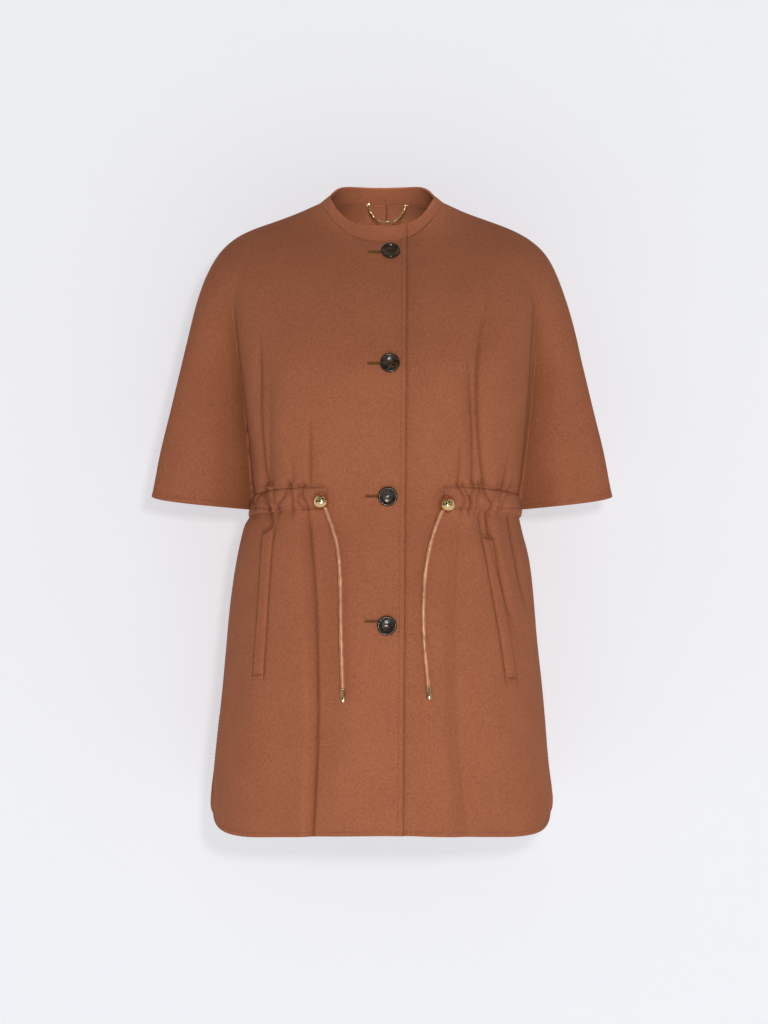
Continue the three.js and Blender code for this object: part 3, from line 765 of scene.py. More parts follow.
def stand_for(obj, slot, *nodes):
    """Hangs a finished piece on the root body and hides the solids that it stands for.
    slot is not used.
    """
    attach(obj, "root")
    if nodes:
        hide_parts(*nodes)
    return obj


def grid_mesh(points, flip, keep=None, pinch_and_painted_shade=None):
    """A sheet through an array of points in millimetres, [row][column], as a bmesh. keep(i, j) says
    which cells are cloth, for arrays of columns and rows. The last argument says how much shade
    is painted at each point, kept as the fold attribute."""
    rows, columns = points.shape[0] - 1, points.shape[1] - 1
    bm = bmesh.new()
    painted_shade_layer = bm.verts.layers.float.new("fold")
    bmesh.ops.create_grid(bm, x_segments=columns, y_segments=rows, size=0.5)
    cells = {}
    for v in bm.verts:
        i = round((v.co.x + 0.5) * columns)
        j = round((v.co.y + 0.5) * rows)
        cells[v] = (i, j)
    if keep is not None:
        gone = []
        for f in bm.faces:
            i = min(cells[v][0] for v in f.verts)
            j = min(cells[v][1] for v in f.verts)
            if not keep(i, j):
                gone.append(f)
        bmesh.ops.delete(bm, geom=gone, context="FACES")
    for v in bm.verts:
        i, j = cells[v]
        v.co = Vector(points[j, i]) * MM
        if pinch_and_painted_shade is not None:
            v[painted_shade_layer] = pinch_and_painted_shade[j, i]
    if flip:
        bmesh.ops.reverse_faces(bm, faces=bm.faces[:])
    return bm


def strip_mesh(outer, inner, pinch_and_painted_shade=None):
    """A closed strip between two arrays of points in millimetres, [along][over]: its outside and
    its inside, with rounded sides and filled ends."""
    loops = np.concatenate([outer, inner[:, ::-1], outer[:, :1]], 1)
    if pinch_and_painted_shade is not None:
        pinch_and_painted_shade = np.concatenate([pinch_and_painted_shade, pinch_and_painted_shade[:, ::-1], pinch_and_painted_shade[:, :1]], 1)
    bm = grid_mesh(loops, False, pinch_and_painted_shade=pinch_and_painted_shade)
    bmesh.ops.remove_doubles(bm, verts=bm.verts[:], dist=1e-7)
    bmesh.ops.holes_fill(bm, edges=[e for e in bm.edges if e.is_boundary], sides=0)
    bmesh.ops.recalc_face_normals(bm, faces=bm.faces[:])
    return bm


def thicken(obj, thickness, edge=0.8):
    """Gives a sheet its wall, behind its face, with softly rounded cut edges."""
    wall = obj.modifiers.new("wall", "SOLIDIFY")
    wall.thickness = thickness * MM
    wall.offset = -1
    wall.use_even_offset = False
    round_off = obj.modifiers.new("soft_edge", "BEVEL")
    round_off.limit_method = "ANGLE"
    round_off.angle_limit = math.radians(60)
    round_off.width = edge * MM
    round_off.segments = 2
    return obj


def bake_modifiers(obj):
    """Applies an object's modifiers, so that its mesh is what shows."""
    seen = bpy.context.evaluated_depsgraph_get()
    mesh = bpy.data.meshes.new_from_object(obj.evaluated_get(seen))
    obj.modifiers.clear()
    old = obj.data
    obj.data = mesh
    bpy.data.meshes.remove(old)
    return obj


def spaced(*stretches):
    """Positions joined from (start, end, steps) stretches, each point once."""
    parts = [np.linspace(a, b, n + 1)[:-1] for a, b, n in stretches]
    return np.concatenate([*parts, [stretches[-1][1]]])


# ------------------------------------------------------------------ camera, light and wall
CAMERA_DISTANCE = 3.2
CAMERA_HEIGHT = -0.384
CAMERA_SIDE = 0.0025
VIEW_HEIGHT = 1.28
SENSOR = 36.0
WALL_BEHIND = 0.165


class StageLooks(bpy.types.PropertyGroup):
    """The studio round the coat."""

    key_power: bpy.props.FloatProperty(
        name="Key light", description="Power of the upper right light", default=26.0, unit="POWER"
    )
    fill_power: bpy.props.FloatProperty(
        name="Fill light", description="Power of the low wide light", default=100.0, unit="POWER"
    )
    skirt_power: bpy.props.FloatProperty(
        name="Skirt light", description="Power of the beam on the skirt", default=1.0, unit="POWER"
    )
    neck_power: bpy.props.FloatProperty(
        name="Neck light", description="Power of the spot into the neck", default=60.0, unit="POWER"
    )
    sky: bpy.props.FloatProperty(
        name="Room light", description="Strength of the light from all round", default=0.52
    )


class CoatLooks(bpy.types.PropertyGroup):
    """Sizes and colours of the coat's finishes."""

    nap_mm: bpy.props.FloatProperty(
        name="Nap", description="Size of one tuft of the nap, in millimetres", default=1.1
    )
    wool_deep: bpy.props.StringProperty(
        name="Wool, deep", description="sRGB hex colour in the nap's hollows", default="#8b5136"
    )
    wool_mid: bpy.props.StringProperty(
        name="Wool", description="sRGB hex colour of the cloth", default="#9d5f43"
    )
    wool_light: bpy.props.StringProperty(
        name="Wool, light", description="sRGB hex colour of the nap's tips", default="#aa6a4b"
    )
    # Painted shade: the colour that the cloth's folds, seams and edges are darkened towards.
    wool_painted_shade: bpy.props.StringProperty(
        name="Wool, ground", description="sRGB hex colour under the opened nap", default="#5c3315"
    )
    thread: bpy.props.StringProperty(
        name="Thread", description="sRGB hex colour of the edge stitches", default="#7d4529"
    )
    buttonhole: bpy.props.StringProperty(
        name="Buttonholes", description="sRGB hex colour of their thread", default="#84521b"
    )
    # Painted shadow: the colour of the line in each buttonhole's slit, also of the button threads.
    slit: bpy.props.StringProperty(
        name="Slits", description="sRGB hex colour inside a buttonhole", default="#3d2415"
    )
    cord_deep: bpy.props.StringProperty(
        name="Cord, deep", description="sRGB hex colour of the leather's shade", default="#a3623c"
    )
    cord_light: bpy.props.StringProperty(
        name="Cord, light", description="sRGB hex colour of the leather", default="#cb8a63"
    )
    backdrop: bpy.props.StringProperty(
        name="Wall", description="sRGB hex colour of the studio wall", default="#c3c4c6"
    )
    wall_glow: bpy.props.FloatProperty(
        name="Wall light", description="How strongly the wall is lit by itself", default=0.58
    )


def area_light(name, spot, aim, width, power):
    data = bpy.data.lights.new(name, "AREA")
    data.shape = "DISK"
    data.size = width
    data.energy = power
    light = bpy.data.objects.new(name, data)
    light.location = spot
    light.rotation_euler = (Vector(aim) - Vector(spot)).to_track_quat("-Z", "Y").to_euler()
    bpy.context.collection.objects.link(light)
    return light


class COAT_OT_stage(bpy.types.Operator):
    """Sets up the camera, the lights, the wall close behind the coat and the floor below it"""

    bl_idname = "coat.stage"
    bl_label = "Stage"

    def execute(self, context):
        scene = context.scene
        looks = scene.coat_stage
        lens = bpy.data.cameras.new("camera")
        lens.sensor_width = SENSOR
        lens.lens = SENSOR * CAMERA_DISTANCE / VIEW_HEIGHT
        camera = bpy.data.objects.new("camera", lens)
        camera.location = (CAMERA_SIDE, -CAMERA_DISTANCE, CAMERA_HEIGHT)
        camera.rotation_euler = (math.pi / 2, 0, 0)
        context.collection.objects.link(camera)
        scene.camera = camera

        aim = (0, 0, CAMERA_HEIGHT)
        area_light("key", (0.26, -3.2, -0.10), aim, 0.22, looks.key_power)
        neck = self.neck_light(looks.neck_power)
        area_light("low_fill", (-0.1, -2.4, -2.2), aim, 1.6, looks.fill_power)
        skirt = area_light("skirt_fill", (0.1, -2.6, -1.0), (0, 0, -0.64), 0.5, looks.skirt_power)
        skirt.data.spread = math.radians(40)

        world = bpy.data.worlds.new("room")
        world.use_nodes = True
        tree = world.node_tree
        sky = tree.nodes["Background"]
        way = tree.nodes.new("ShaderNodeTexCoord").outputs["Generated"]
        panels = add_node(tree, "ShaderNodeTexNoise", Vector=way, Scale=2.6, Detail=0.0).outputs[0]
        shades = [(0.44, "#1b1b1e"), (0.58, "#ffffff")]
        boxes = add_node(tree, "ShaderNodeValToRGB", stops=shades, Fac=panels).outputs[0]
        tree.links.new(boxes, sky.inputs["Color"])
        sky.inputs["Strength"].default_value = looks.sky
        scene.world = world
        scene.view_settings.view_transform = "Standard"

        plain = bpy.data.collections.new("lit_without_beams")
        for name, turn, place in (
            ("wall", math.pi / 2, (0, WALL_BEHIND, CAMERA_HEIGHT)),
            ("floor", 0, (0, 0, CAD_BOX[0].z - 0.55)),
        ):
            bm = bmesh.new()
            bmesh.ops.create_grid(bm, x_segments=2, y_segments=2, size=6)
            matrix = Matrix.Translation(place) @ Matrix.Rotation(turn, 4, "X")
            bmesh.ops.transform(bm, matrix=matrix, verts=bm.verts[:])
            screen = new_object("studio_" + name, bm, finish("wall"), flat=True)
            plain.objects.link(screen)
        for link in plain.collection_objects:
            link.light_linking.link_state = "EXCLUDE"
        for beam in (neck, skirt):
            beam.light_linking.receiver_collection = plain
        return {"FINISHED"}

    @staticmethod
    def neck_light(power):
        """A small spot that opens up the inside of the neck."""
        data = bpy.data.lights.new("neck_spot", "SPOT")
        data.energy = power
        data.spot_size = math.radians(8.2)
        data.spot_blend = 0.7
        data.shadow_soft_size = 0.06
        light = bpy.data.objects.new("neck_spot", data)
        light.location = (0.03, -1.3, 0.22)
        aim = Vector((0.004, 0.06, 0.03)) - light.location
        light.rotation_euler = aim.to_track_quat("-Z", "Y").to_euler()
        bpy.context.collection.objects.link(light)
        return light


# ------------------------------------------------------------------ cords
CORD_R = 2.6
BALL_R = 9.3
BALL_GAP = 0.6
CORD_CLEAR = 0.8
CASING_THICK = 1.6
CORDS = [
    {
        "name": "right",
        "side": -1,
        "eyelet": (71, -362),
        "ball": (70, -371),
        "route": [
            (65.5, -381), (62, -391), (58, -403), (54.5, -416), (52, -430), (50.3, -446),
            (49.4, -463), (49, -481), (48.8, -500), (48.6, -520), (48.2, -540), (47.6, -560),
            (46.9, -578), (46.3, -594),
        ],
    },
    {
        "name": "left",
        "side": 1,
        "eyelet": (76, -366),
        "ball": (75.5, -375),
        "route": [
            (69.5, -385), (65.5, -395), (61.5, -407), (58, -420), (55, -434), (52.6, -450),
            (51, -467), (50, -485), (49.6, -503), (49.7, -521), (50.4, -539), (51.6, -556),
            (53, -572), (54.6, -591),
        ],
    },
]


def place_on(face, side, x, z, lift=0.0):
    """Places on the plain form at distances from the middle and heights, and their outward axes."""
    row = row_at(face, side, x, z)
    across = across_at(face, side, row, x)
    p = form_point(face, side, across, row)
    u = form_point(face, side, across + 0.01, row) - p
    v = form_point(face, side, across, row + 0.04) - p
    n = np.cross(u, v)
    n /= np.linalg.norm(n, axis=-1, keepdims=True)
    n *= np.where((n[..., 1:2] < 0) == (face == "front"), 1, -1)
    return p + n * np.asarray(lift, float)[..., None], n


def through(points, steps):
    """A smooth centripetal curve through points, as an array with steps points for each stretch."""
    points = [np.asarray(p, float) for p in points]
    ends = [2 * points[0] - points[1], *points, 2 * points[-1] - points[-2]]
    found = []
    for p0, p1, p2, p3 in zip(ends, ends[1:], ends[2:], ends[3:]):
        t0 = 0.0
        t1 = t0 + np.linalg.norm(p1 - p0) ** 0.5
        t2 = t1 + np.linalg.norm(p2 - p1) ** 0.5
        t3 = t2 + np.linalg.norm(p3 - p2) ** 0.5
        for t in np.linspace(t1, t2, steps, endpoint=False):
            a1 = (t1 - t) / (t1 - t0) * p0 + (t - t0) / (t1 - t0) * p1
            a2 = (t2 - t) / (t2 - t1) * p1 + (t - t1) / (t2 - t1) * p2
            a3 = (t3 - t) / (t3 - t2) * p2 + (t - t2) / (t3 - t2) * p3
            b1 = (t2 - t) / (t2 - t0) * a1 + (t - t0) / (t2 - t0) * a2
            b2 = (t3 - t) / (t3 - t1) * a2 + (t - t1) / (t3 - t1) * a3
            found.append((t2 - t) / (t2 - t1) * b1 + (t - t1) / (t2 - t1) * b2)
    found.append(points[-1])
    return np.array(found)


def cord_route(c):
    """The points that a cord end follows, in millimetres: its start, its ball's middle and on."""
    face = CASING_THICK + SEAM
    over = face + BALL_R + BALL_GAP
    settle = smooth((np.arange(len(c["route"])) + 1) / 8)
    lifts = [face + BALL_GAP + CORD_R * 0.75, over, *mix(over - 1.5, CORD_R + CORD_CLEAR, settle)]
    spots = np.array([c["eyelet"], c["ball"], *c["route"]], float)
    return place_on("front", c["side"], spots[:, 0], spots[:, 1], np.array(lifts))[0]


def basis(axis, place):
    """A matrix that turns +Z to an axis, with X level, and moves the origin to a place (mm)."""
    z = Vector(axis).normalized()
    x = Vector((0, 0, 1)).cross(z)
    x = x.normalized() if x.length > 1e-6 else Vector((1, 0, 0))
    turned = Matrix((x, z.cross(x), z)).transposed().to_4x4()
    return Matrix.Translation(Vector(place) * MM) @ turned


def spin_round(bm, steps):
    """Spins all that a bmesh holds once round Z."""
    outline = bm.verts[:] + bm.edges[:]
    ways = {"cent": (0, 0, 0), "axis": (0, 0, 1), "angle": math.tau}
    bmesh.ops.spin(bm, geom=outline, steps=steps, use_merge=True, **ways)


def close_up(bm):
    """Merges the points that lie together and turns the faces outwards."""
    bmesh.ops.remove_doubles(bm, verts=bm.verts[:], dist=1e-6)
    bmesh.ops.recalc_face_normals(bm, faces=bm.faces[:])
    return bm


def turned_piece(profile, steps):
    """A bmesh spun round Z from (radius, height) points in millimetres, still open at its ends."""
    bm = bmesh.new()
    verts = [bm.verts.new((r * MM, 0, z * MM)) for r, z in profile]
    for pair in zip(verts, verts[1:]):
        bm.edges.new(pair)
    spin_round(bm, steps)
    return bm


def arc(centre, radius, start, end, steps):
    """Points of an arc, as (radius, height), with angles in degrees from +radius."""
    angles = np.radians(np.linspace(start, end, steps + 1))
    return [(centre[0] + radius * math.cos(a), centre[1] + radius * math.sin(a)) for a in angles]


def ball_profile():
    """A bored ball: its outside, and a bore with a softly turned lip at each end."""
    bore = CORD_R + 0.5
    lip = math.degrees(math.asin((bore + 0.5) / BALL_R))
    outside = arc((0, 0), BALL_R, 90 - lip, -90 + lip, 26)
    height = outside[0][1] - 0.5
    inside = [(bore, -height), (bore, -height / 3), (bore, height / 3), (bore, height)]
    return [*outside, *inside, outside[0]]


def tip_profile():
    """A crimped metal tip: a rolled lip at the mouth, a plain sleeve and a domed foot."""
    r, foot = 3.0, 17.0
    return [
        (0, 0.35),
        (2.3, 0.35),
        (2.9, 0.5),
        (3.05, 0.9),
        (2.95, 1.4),
        (2.65, 1.7),
        (2.65, 2.1),
        (r, 2.5),
        (r, foot - 1.4),
        *arc((r - 1.2, foot - 1.2), 1.2, 0, 70, 4),
        (0, foot + 0.35),
    ]


class COAT_OT_cords(bpy.types.Operator):
    """Makes the two drawstring ends with their ball stoppers and metal tips"""

    bl_idname = "coat.cords"
    bl_label = "Drawstring ends"

    def execute(self, context):
        for c in CORDS:
            points = cord_route(c)
            ball = points[1]
            path = through(points, 5)
            tip = new_object(
                "tip_" + c["name"],
                self.at(turned_piece(tip_profile(), 28), path[-1] - path[-3], path[-1]),
                finish("gilt"),
            )
            stand_for(tip, "gilt", "cord_tip_" + c["name"])
            leaving = points[2] - ball
            bead = new_object(
                "ball_" + c["name"],
                self.at(turned_piece(ball_profile(), 48), leaving, ball),
                finish("gilt"),
            )
            stand_for(bead, "gilt", "stopper_" + c["name"])
            self.lay(c, path, bead, tip)
        return {"FINISHED"}

    @staticmethod
    def at(bm, axis, place):
        bmesh.ops.transform(close_up(bm), matrix=basis(axis, place), verts=bm.verts[:])
        return bm

    @staticmethod
    def lay(c, path, bead, tip):
        data = bpy.data.curves.new("cord_line_" + c["name"], "CURVE")
        data.dimensions = "3D"
        data.bevel_depth = CORD_R * MM
        data.bevel_resolution = 5
        data.use_fill_caps = True
        spline = data.splines.new("POLY")
        spline.points.add(len(path) - 1)
        for point, place in zip(spline.points, path):
            point.co = (*(place * MM), 1)
        cord = bpy.data.objects.new("drawcord_" + c["name"], data)
        data.materials.append(finish("leather"))
        bpy.context.collection.objects.link(cord)
        stand_for(cord, "cord", "cord_" + c["name"])


# ------------------------------------------------------------------ fronts and backs
BACK_SEAM = 0.01  # half of the gap in the centre back seam
PANELS = table(
    "name face side edge width length area",
    [
        ["front_right", "front", -1, -FRONT_EDGE, 0.42, 0.80, 0.240],
        ["front_left", "front", 1, UNDER_EDGE, 0.40, 0.80, 0.232],
        ["back_right", "back", -1, -CENTRE + BACK_SEAM, 0.38, 0.83, 0.218],
        ["back_left", "back", 1, CENTRE + BACK_SEAM, 0.37, 0.83, 0.209],
    ],
)


def body_columns():
    """Shares of the way from the panel's edge to the side: close at both ends, for the stitches."""
    return spaced((0, 0.012, 3), (0.012, 0.06, 9), (0.06, 0.94, 132), (0.94, 1, 8))


def sleeve_columns():
    """Shares of the way from the side to the ridge."""
    return spaced((0, 0.1, 6), (0.1, 0.9, 30), (0.9, 1, 8))


def cloth_rows():
    """Row numbers: close at the neck seam, round the casing, at the sleeve hem and at the hem."""
    return spaced(
        (0, 0.6, 6),
        (0.6, 11, 66),
        (11, 11.55, 10),
        (11.55, TIP_ROW, 18),
        (TIP_ROW, 12.6, 22),
        (12.6, 19.6, 56),
        (19.6, HEM_ROW, 14),
    )


def panel_edge(panel, rows):
    """How far the panel's inner edge is from the middle at each row."""
    if panel["name"] != "front_right":
        return panel["edge"]
    return -front_edge(row_value("front_z", rows))


def panel_places(panel):
    """Arrays of across and row for every point of a panel, [row][column]."""
    face, side = panel["face"], panel["side"]
    body, sleeve, rows = body_columns(), sleeve_columns(), cloth_rows()
    start = across_at(face, side, rows, panel_edge(panel, rows))
    on_body = mix(start[:, None], LOBE_SHARE, body[None, :])
    on_sleeve = np.tile(mix(LOBE_SHARE, 1, sleeve[1:]), (len(rows), 1))
    across = np.concatenate([on_body, on_sleeve], 1)
    return across, np.broadcast_to(rows[:, None], across.shape), len(body) - 1


class COAT_OT_panels(bpy.types.Operator):
    """Makes the two fronts and the two backs, each cut in one with its half sleeve"""

    bl_idname = "coat.panels"
    bl_label = "Fronts and backs"

    def execute(self, context):
        for panel in PANELS:
            face, side = panel["face"], panel["side"]
            across, rows, last = panel_places(panel)
            points, pinch_and_painted_shade = cloth_point(face, side, across, rows, lines=True)
            sleeve_end = int(np.searchsorted(cloth_rows(), TIP_ROW - 1e-6))
            bm = grid_mesh(
                points,
                (face == "front") == (side > 0),
                lambda i, j: i < last or j < sleeve_end,
                pinch_and_painted_shade,
            )
            obj = new_object("cloth_" + panel["name"], bm, finish("wool"))
            bake_modifiers(thicken(obj, CLOTH))
            stand_for(obj, "wool", panel["name"])
        return {"FINISHED"}


# ------------------------------------------------------------------ collar
COLLAR_TOP = {"half": 66, "front": -66, "back": 52, "front_z": -33, "side_z": 10, "back_z": 28}
COLLAR_CURVE = {"front": 3.5, "back": 8.0}


def collar_point(turn, up):
    """Points of the band's outer face. turn is 0 at the centre front and rises to the left."""
    turn, up = np.broadcast_arrays(np.asarray(turn, float), np.asarray(up, float))
    s, c = np.sin(turn), np.cos(turn)
    lapped = turn > math.pi
    at_front = c >= 0
    zero = np.zeros(turn.shape)
    base = np.zeros((*turn.shape, 3))
    for face, side in (("front", -1), ("front", 1), ("back", -1), ("back", 1)):
        here = (at_front == (face == "front")) & (lapped == (side < 0))
        p = form_point(face, side, side * 2 * np.arcsin(s) / math.pi, zero)
        base[here] = p[here]
    t = COLLAR_TOP
    rise = np.abs(s) ** np.where(at_front, COLLAR_CURVE["front"], COLLAR_CURVE["back"])
    middle, reach = (t["front"] + t["back"]) / 2, (t["back"] - t["front"]) / 2
    x, y = t["half"] * s, middle - reach * c
    z = mix(np.where(at_front, t["front_z"], t["back_z"]), t["side_z"], rise)
    under = (~lapped) & at_front
    shift = UNDERLAP * 1.25 * (1 - smooth((base[..., 0] - EDGE_LEAN[0] - 2) / 24))
    y = y + np.where(under, shift, 0)
    top = np.stack([x, y, z], -1)
    p = base + (top - base) * up[..., None]
    drawn = NECK_PINCH * bell(up, 0.14) * (1 - np.abs(s) ** 3)  # by the neck seam
    p[..., 0] -= s * drawn
    p[..., 1] += c * drawn
    return p


class COAT_OT_collar(bpy.types.Operator):
    """Makes the stand collar, one band that laps right over left at the front"""

    bl_idname = "coat.collar"
    bl_label = "Stand collar"

    def execute(self, context):
        neck = FORM["ridge_x"][0]
        first = math.asin(UNDER_EDGE / neck)
        share = spaced((0, 0.008, 5), (0.008, 0.992, 200), (0.992, 1, 6))
        up = spaced((0, 0.12, 3), (0.12, 0.85, 10), (0.85, 1, 5))
        share, up = np.meshgrid(share, up)
        wide = mix(neck, COLLAR_TOP["half"], up)
        turn = mix(first, 2 * math.pi + np.arcsin(EDGE_LEAN[0] / wide), share)
        points = collar_point(turn, up)
        at_front = np.cos(turn) > 0
        lap = at_front & (turn > math.pi)
        from_edge = points[..., 0] - EDGE_LEAN[0]
        points[..., 1] -= np.where(lap, EDGE_CURL * smooth(1 + from_edge / EDGE_ROLL), 0)
        # Painted shadow along the lapped front edge, and painted shade on the front under it.
        collar_edge_shadow = EDGE_SHADOW * bell(from_edge, EDGE_SHADOW_WIDE)
        line = np.where(lap, collar_edge_shadow, LAP_LINE * bell(from_edge, LAP_LINE_WIDE))
        # Painted shade along the neck seam at the collar's foot.
        line = np.where(at_front, line, 0) + 0.7 * bell(up, 0.05)
        bm = grid_mesh(points, False, pinch_and_painted_shade=line)
        obj = new_object("stand_collar", bm, finish("wool"))
        bake_modifiers(thicken(obj, CLOTH, 1.0))
        stand_for(obj, "wool", "collar")
        return {"FINISHED"}


# ------------------------------------------------------------------ waist casing
CASINGS = table(
    "name face side start",
    [
        ["front_right", "front", -1, 0.168],
        ["front_left", "front", 1, 0.179],
        ["back_right", "back", -1, None],
        ["back_left", "back", 1, None],
    ],
)
CASING_PUFF = 3.6  # how far its middle stands off


class COAT_OT_casings(bpy.types.Operator):
    """Makes the gathered drawstring casing round the waist, a length on each panel"""

    bl_idname = "coat.casings"
    bl_label = "Waist casing"

    def execute(self, context):
        for c in CASINGS:
            face, side = c["face"], c["side"]
            start = c["start"]
            if start is None:
                edge = next(p["edge"] for p in PANELS if p["name"] == c["name"])
                start = float(across_at(face, side, np.asarray(float(TIP_ROW)), edge))
            along = spaced((start, LOBE_SHARE * 0.985, 110))
            over = spaced((0, 0.12, 3), (0.12, 0.88, 14), (0.88, 1, 3))
            across, share = np.meshgrid(along, over)
            rows = mix(CASING_TOP, CASING_FOOT, share)
            puff = np.maximum(0, 1 - (2 * share - 1) ** 2) ** 0.6
            ends = smooth((across - start) / 0.05) if face == "front" else 1.0
            lift = 0.3 + CASING_PUFF * puff * ends
            outer, pinch_and_painted_shade = cloth_point(face, side, across, rows, lift, True, lines=True)
            inner = cloth_point(face, side, across, rows, 0.1, on_casing=True)
            loops = (outer.transpose(1, 0, 2), inner.transpose(1, 0, 2), pinch_and_painted_shade.T)
            obj = new_object("casing_cloth_" + c["name"], strip_mesh(*loops), finish("wool"))
            stand_for(obj, "wool", "casing_" + c["name"])
            size = float(np.linalg.norm(np.diff(outer[10], axis=0), axis=1).sum() * MM)
        return {"FINISHED"}


# ------------------------------------------------------------------ stitches
# A stitch is a six-sided tube of four rings. For each: its width as a share of the stitch's, its
# place as a share of the length, and how many radii it lies beyond that.
STITCH_SIDES = 6
STITCH_RINGS = np.array([(0.55, -0.5, -0.35), (1, -0.5, 0.3), (1, 0.5, -0.3), (0.55, 0.5, 0.35)])


def stitch_shape():
    """One stitch on rings a unit wide and a unit apart: its points and its faces."""
    bm = bmesh.new()
    from_x = Matrix.Rotation(math.pi / 2, 4, "Z")  # a circle starts on Y
    bmesh.ops.create_circle(bm, segments=STITCH_SIDES, radius=1, matrix=from_x)
    edges = bm.edges[:]
    for _ in STITCH_RINGS[1:]:
        made = bmesh.ops.extrude_edge_only(bm, edges=edges)["geom"]
        verts = [part for part in made if isinstance(part, bmesh.types.BMVert)]
        edges = [part for part in made if isinstance(part, bmesh.types.BMEdge)]
        bmesh.ops.translate(bm, vec=(0, 0, 1), verts=verts)
    bmesh.ops.holes_fill(bm, edges=[e for e in bm.edges if e.is_boundary], sides=0)
    bmesh.ops.recalc_face_normals(bm, faces=bm.faces[:])
    bm.verts.index_update()
    points = np.array([v.co for v in bm.verts])
    faces = [[v.index for v in f.verts] for f in bm.faces]
    bm.free()
    return points, faces


def thread_object(name, starts, ends, radii, material):
    """One object of many copies of a stitch, each of its own length, given in millimetres."""
    starts, ends = np.asarray(starts, float), np.asarray(ends, float)
    radii = np.broadcast_to(np.asarray(radii, float), starts.shape[:1])
    along = ends - starts
    length = np.linalg.norm(along, axis=1)
    z = along / length[:, None]
    x = np.cross(z, np.where(np.abs(z[:, 2:]) < 0.9, [[0.0, 0.0, 1.0]], [[1.0, 0.0, 0.0]]))
    x /= np.linalg.norm(x, axis=1)[:, None]
    y = np.cross(z, x)
    points, faces = stitch_shape()
    wide, share, beyond = STITCH_RINGS[np.rint(points[:, 2]).astype(int)].T[:, None, :, None]
    spoke = x[:, None] * points[:, :1] + y[:, None] * points[:, 1:2]
    radii = radii[:, None, None]
    verts = spoke * radii * wide + z[:, None] * (length[:, None, None] * share + radii * beyond)
    verts += ((starts + ends) / 2)[:, None]
    copies = [[k * len(points) + v for v in face] for k in range(len(starts)) for face in faces]
    mesh = bpy.data.meshes.new(name)
    mesh.from_pydata((verts.reshape(-1, 3) * MM).tolist(), [], copies)
    return show(mesh, material)


def running(points, pitch, length):
    """The starts and ends of running stitches along a line of points: one for each pitch."""
    steps = np.linalg.norm(np.diff(points, axis=0), axis=1)
    along = np.concatenate([[0], np.cumsum(steps)])
    middles = (np.arange(int(along[-1] // pitch)) + 0.5) * pitch
    return [
        np.stack([np.interp(middles + shift, along, points[:, i]) for i in range(3)], 1)
        for shift in (-length / 2, length / 2)
    ]


EDGE_STITCH = 6.0  # millimetres from the edge to the line of stitches beside it
SEAM_STITCH = 3.0  # and from the centre back seam to where the lines end
HEM_STITCH = 8.0
VENT_ROW = 17.6  # where the line beside a vent starts
EDGE_RUN, CASING_RUN = (4.6, 2.3), (3.2, 2.4)  # the pitch and length of the stitches
HEM_ROW_HEIGHT = 44.0  # millimetres of cloth in the last row, and in the last row of the sleeve
CASING_ENDS = {("front", -1): 0.172, ("front", 1): 0.183}


def stitch_lines():
    """Every line of running stitches: its points, and the pitch and length of its stitches."""
    hem = HEM_ROW - HEM_STITCH / HEM_ROW_HEIGHT
    cuff = TIP_ROW - EDGE_STITCH / HEM_ROW_HEIGHT
    lines = []
    for panel in PANELS:
        face, side = panel["face"], panel["side"]
        rows = np.linspace(0.05, hem, 500)
        inset = panel_edge(panel, rows) + (EDGE_STITCH if face == "front" else SEAM_STITCH)
        if panel["name"] == "front_right":
            across = across_at(face, side, rows, inset)
            lines.append((cloth_point(face, side, across, rows, 0.1), *EDGE_RUN))
        inset = panel["edge"] + (EDGE_STITCH if face == "front" else SEAM_STITCH)
        low = float(across_at(face, side, np.asarray(hem), inset))
        across = np.linspace(low, LOBE_SHARE - 0.012, 200)
        lines.append((cloth_point(face, side, across, hem, 0.1), *EDGE_RUN))
        across = np.linspace(LOBE_SHARE + 0.012, 0.99, 120)
        lines.append((cloth_point(face, side, across, cuff, 0.1), *EDGE_RUN))
        vent = np.linspace(VENT_ROW, hem, 120)
        lines.append((cloth_point(face, side, LOBE_SHARE - 0.014, vent, 0.1), *EDGE_RUN))
        first = CASING_ENDS.get((face, side)) or float(
            across_at(face, side, np.asarray(float(TIP_ROW)), inset)
        )
        across = np.linspace(first, LOBE_SHARE * 0.975, 240)
        for share in (0.05, 0.95):
            row = mix(CASING_TOP, CASING_FOOT, share)
            points = cloth_point(face, side, across, row, 0.65, on_casing=True)
            lines.append((points, *CASING_RUN))
    return lines


class COAT_OT_stitches(bpy.types.Operator):
    """Makes the running stitches beside the front edge, the hems and vents, and along the casing"""

    bl_idname = "coat.stitches"
    bl_label = "Stitches"

    def execute(self, context):
        runs = [running(*line) for line in stitch_lines()]
        starts, ends = (np.concatenate([run[k] for run in runs]) for k in (0, 1))
        stand_for(thread_object("edge_stitches", starts, ends, 0.3, finish("thread")), "wool")
        return {"FINISHED"}


# ------------------------------------------------------------------ buttons and buttonholes
BUTTON_R = 11.8
BUTTONS = [(10.5, -69), (9.7, -207), (7, -365), (6, -520)]
BUTTON_LIFT = 1.6
BUTTON_DISH = 5.8
BUTTON_HOLE = 1.0
BUTTON_SPREAD = 1.65
BUTTON_TURNS = [0.1, -0.25, 0.3, 0.05]
SLIT_LENGTH = 25.5


def add_ring(bm, centre, radius, steps, height):
    """Adds a closed ring of edges and gives its vertices and edges. height depends on x and y."""
    verts = []
    for k in range(steps):
        a = math.tau * k / steps
        x, y = centre[0] + radius * math.cos(a), centre[1] + radius * math.sin(a)
        verts.append(bm.verts.new((x * MM, y * MM, height(x, y) * MM)))
    return verts, [bm.edges.new((a, b)) for a, b in zip(verts, verts[1:] + verts[:1])]


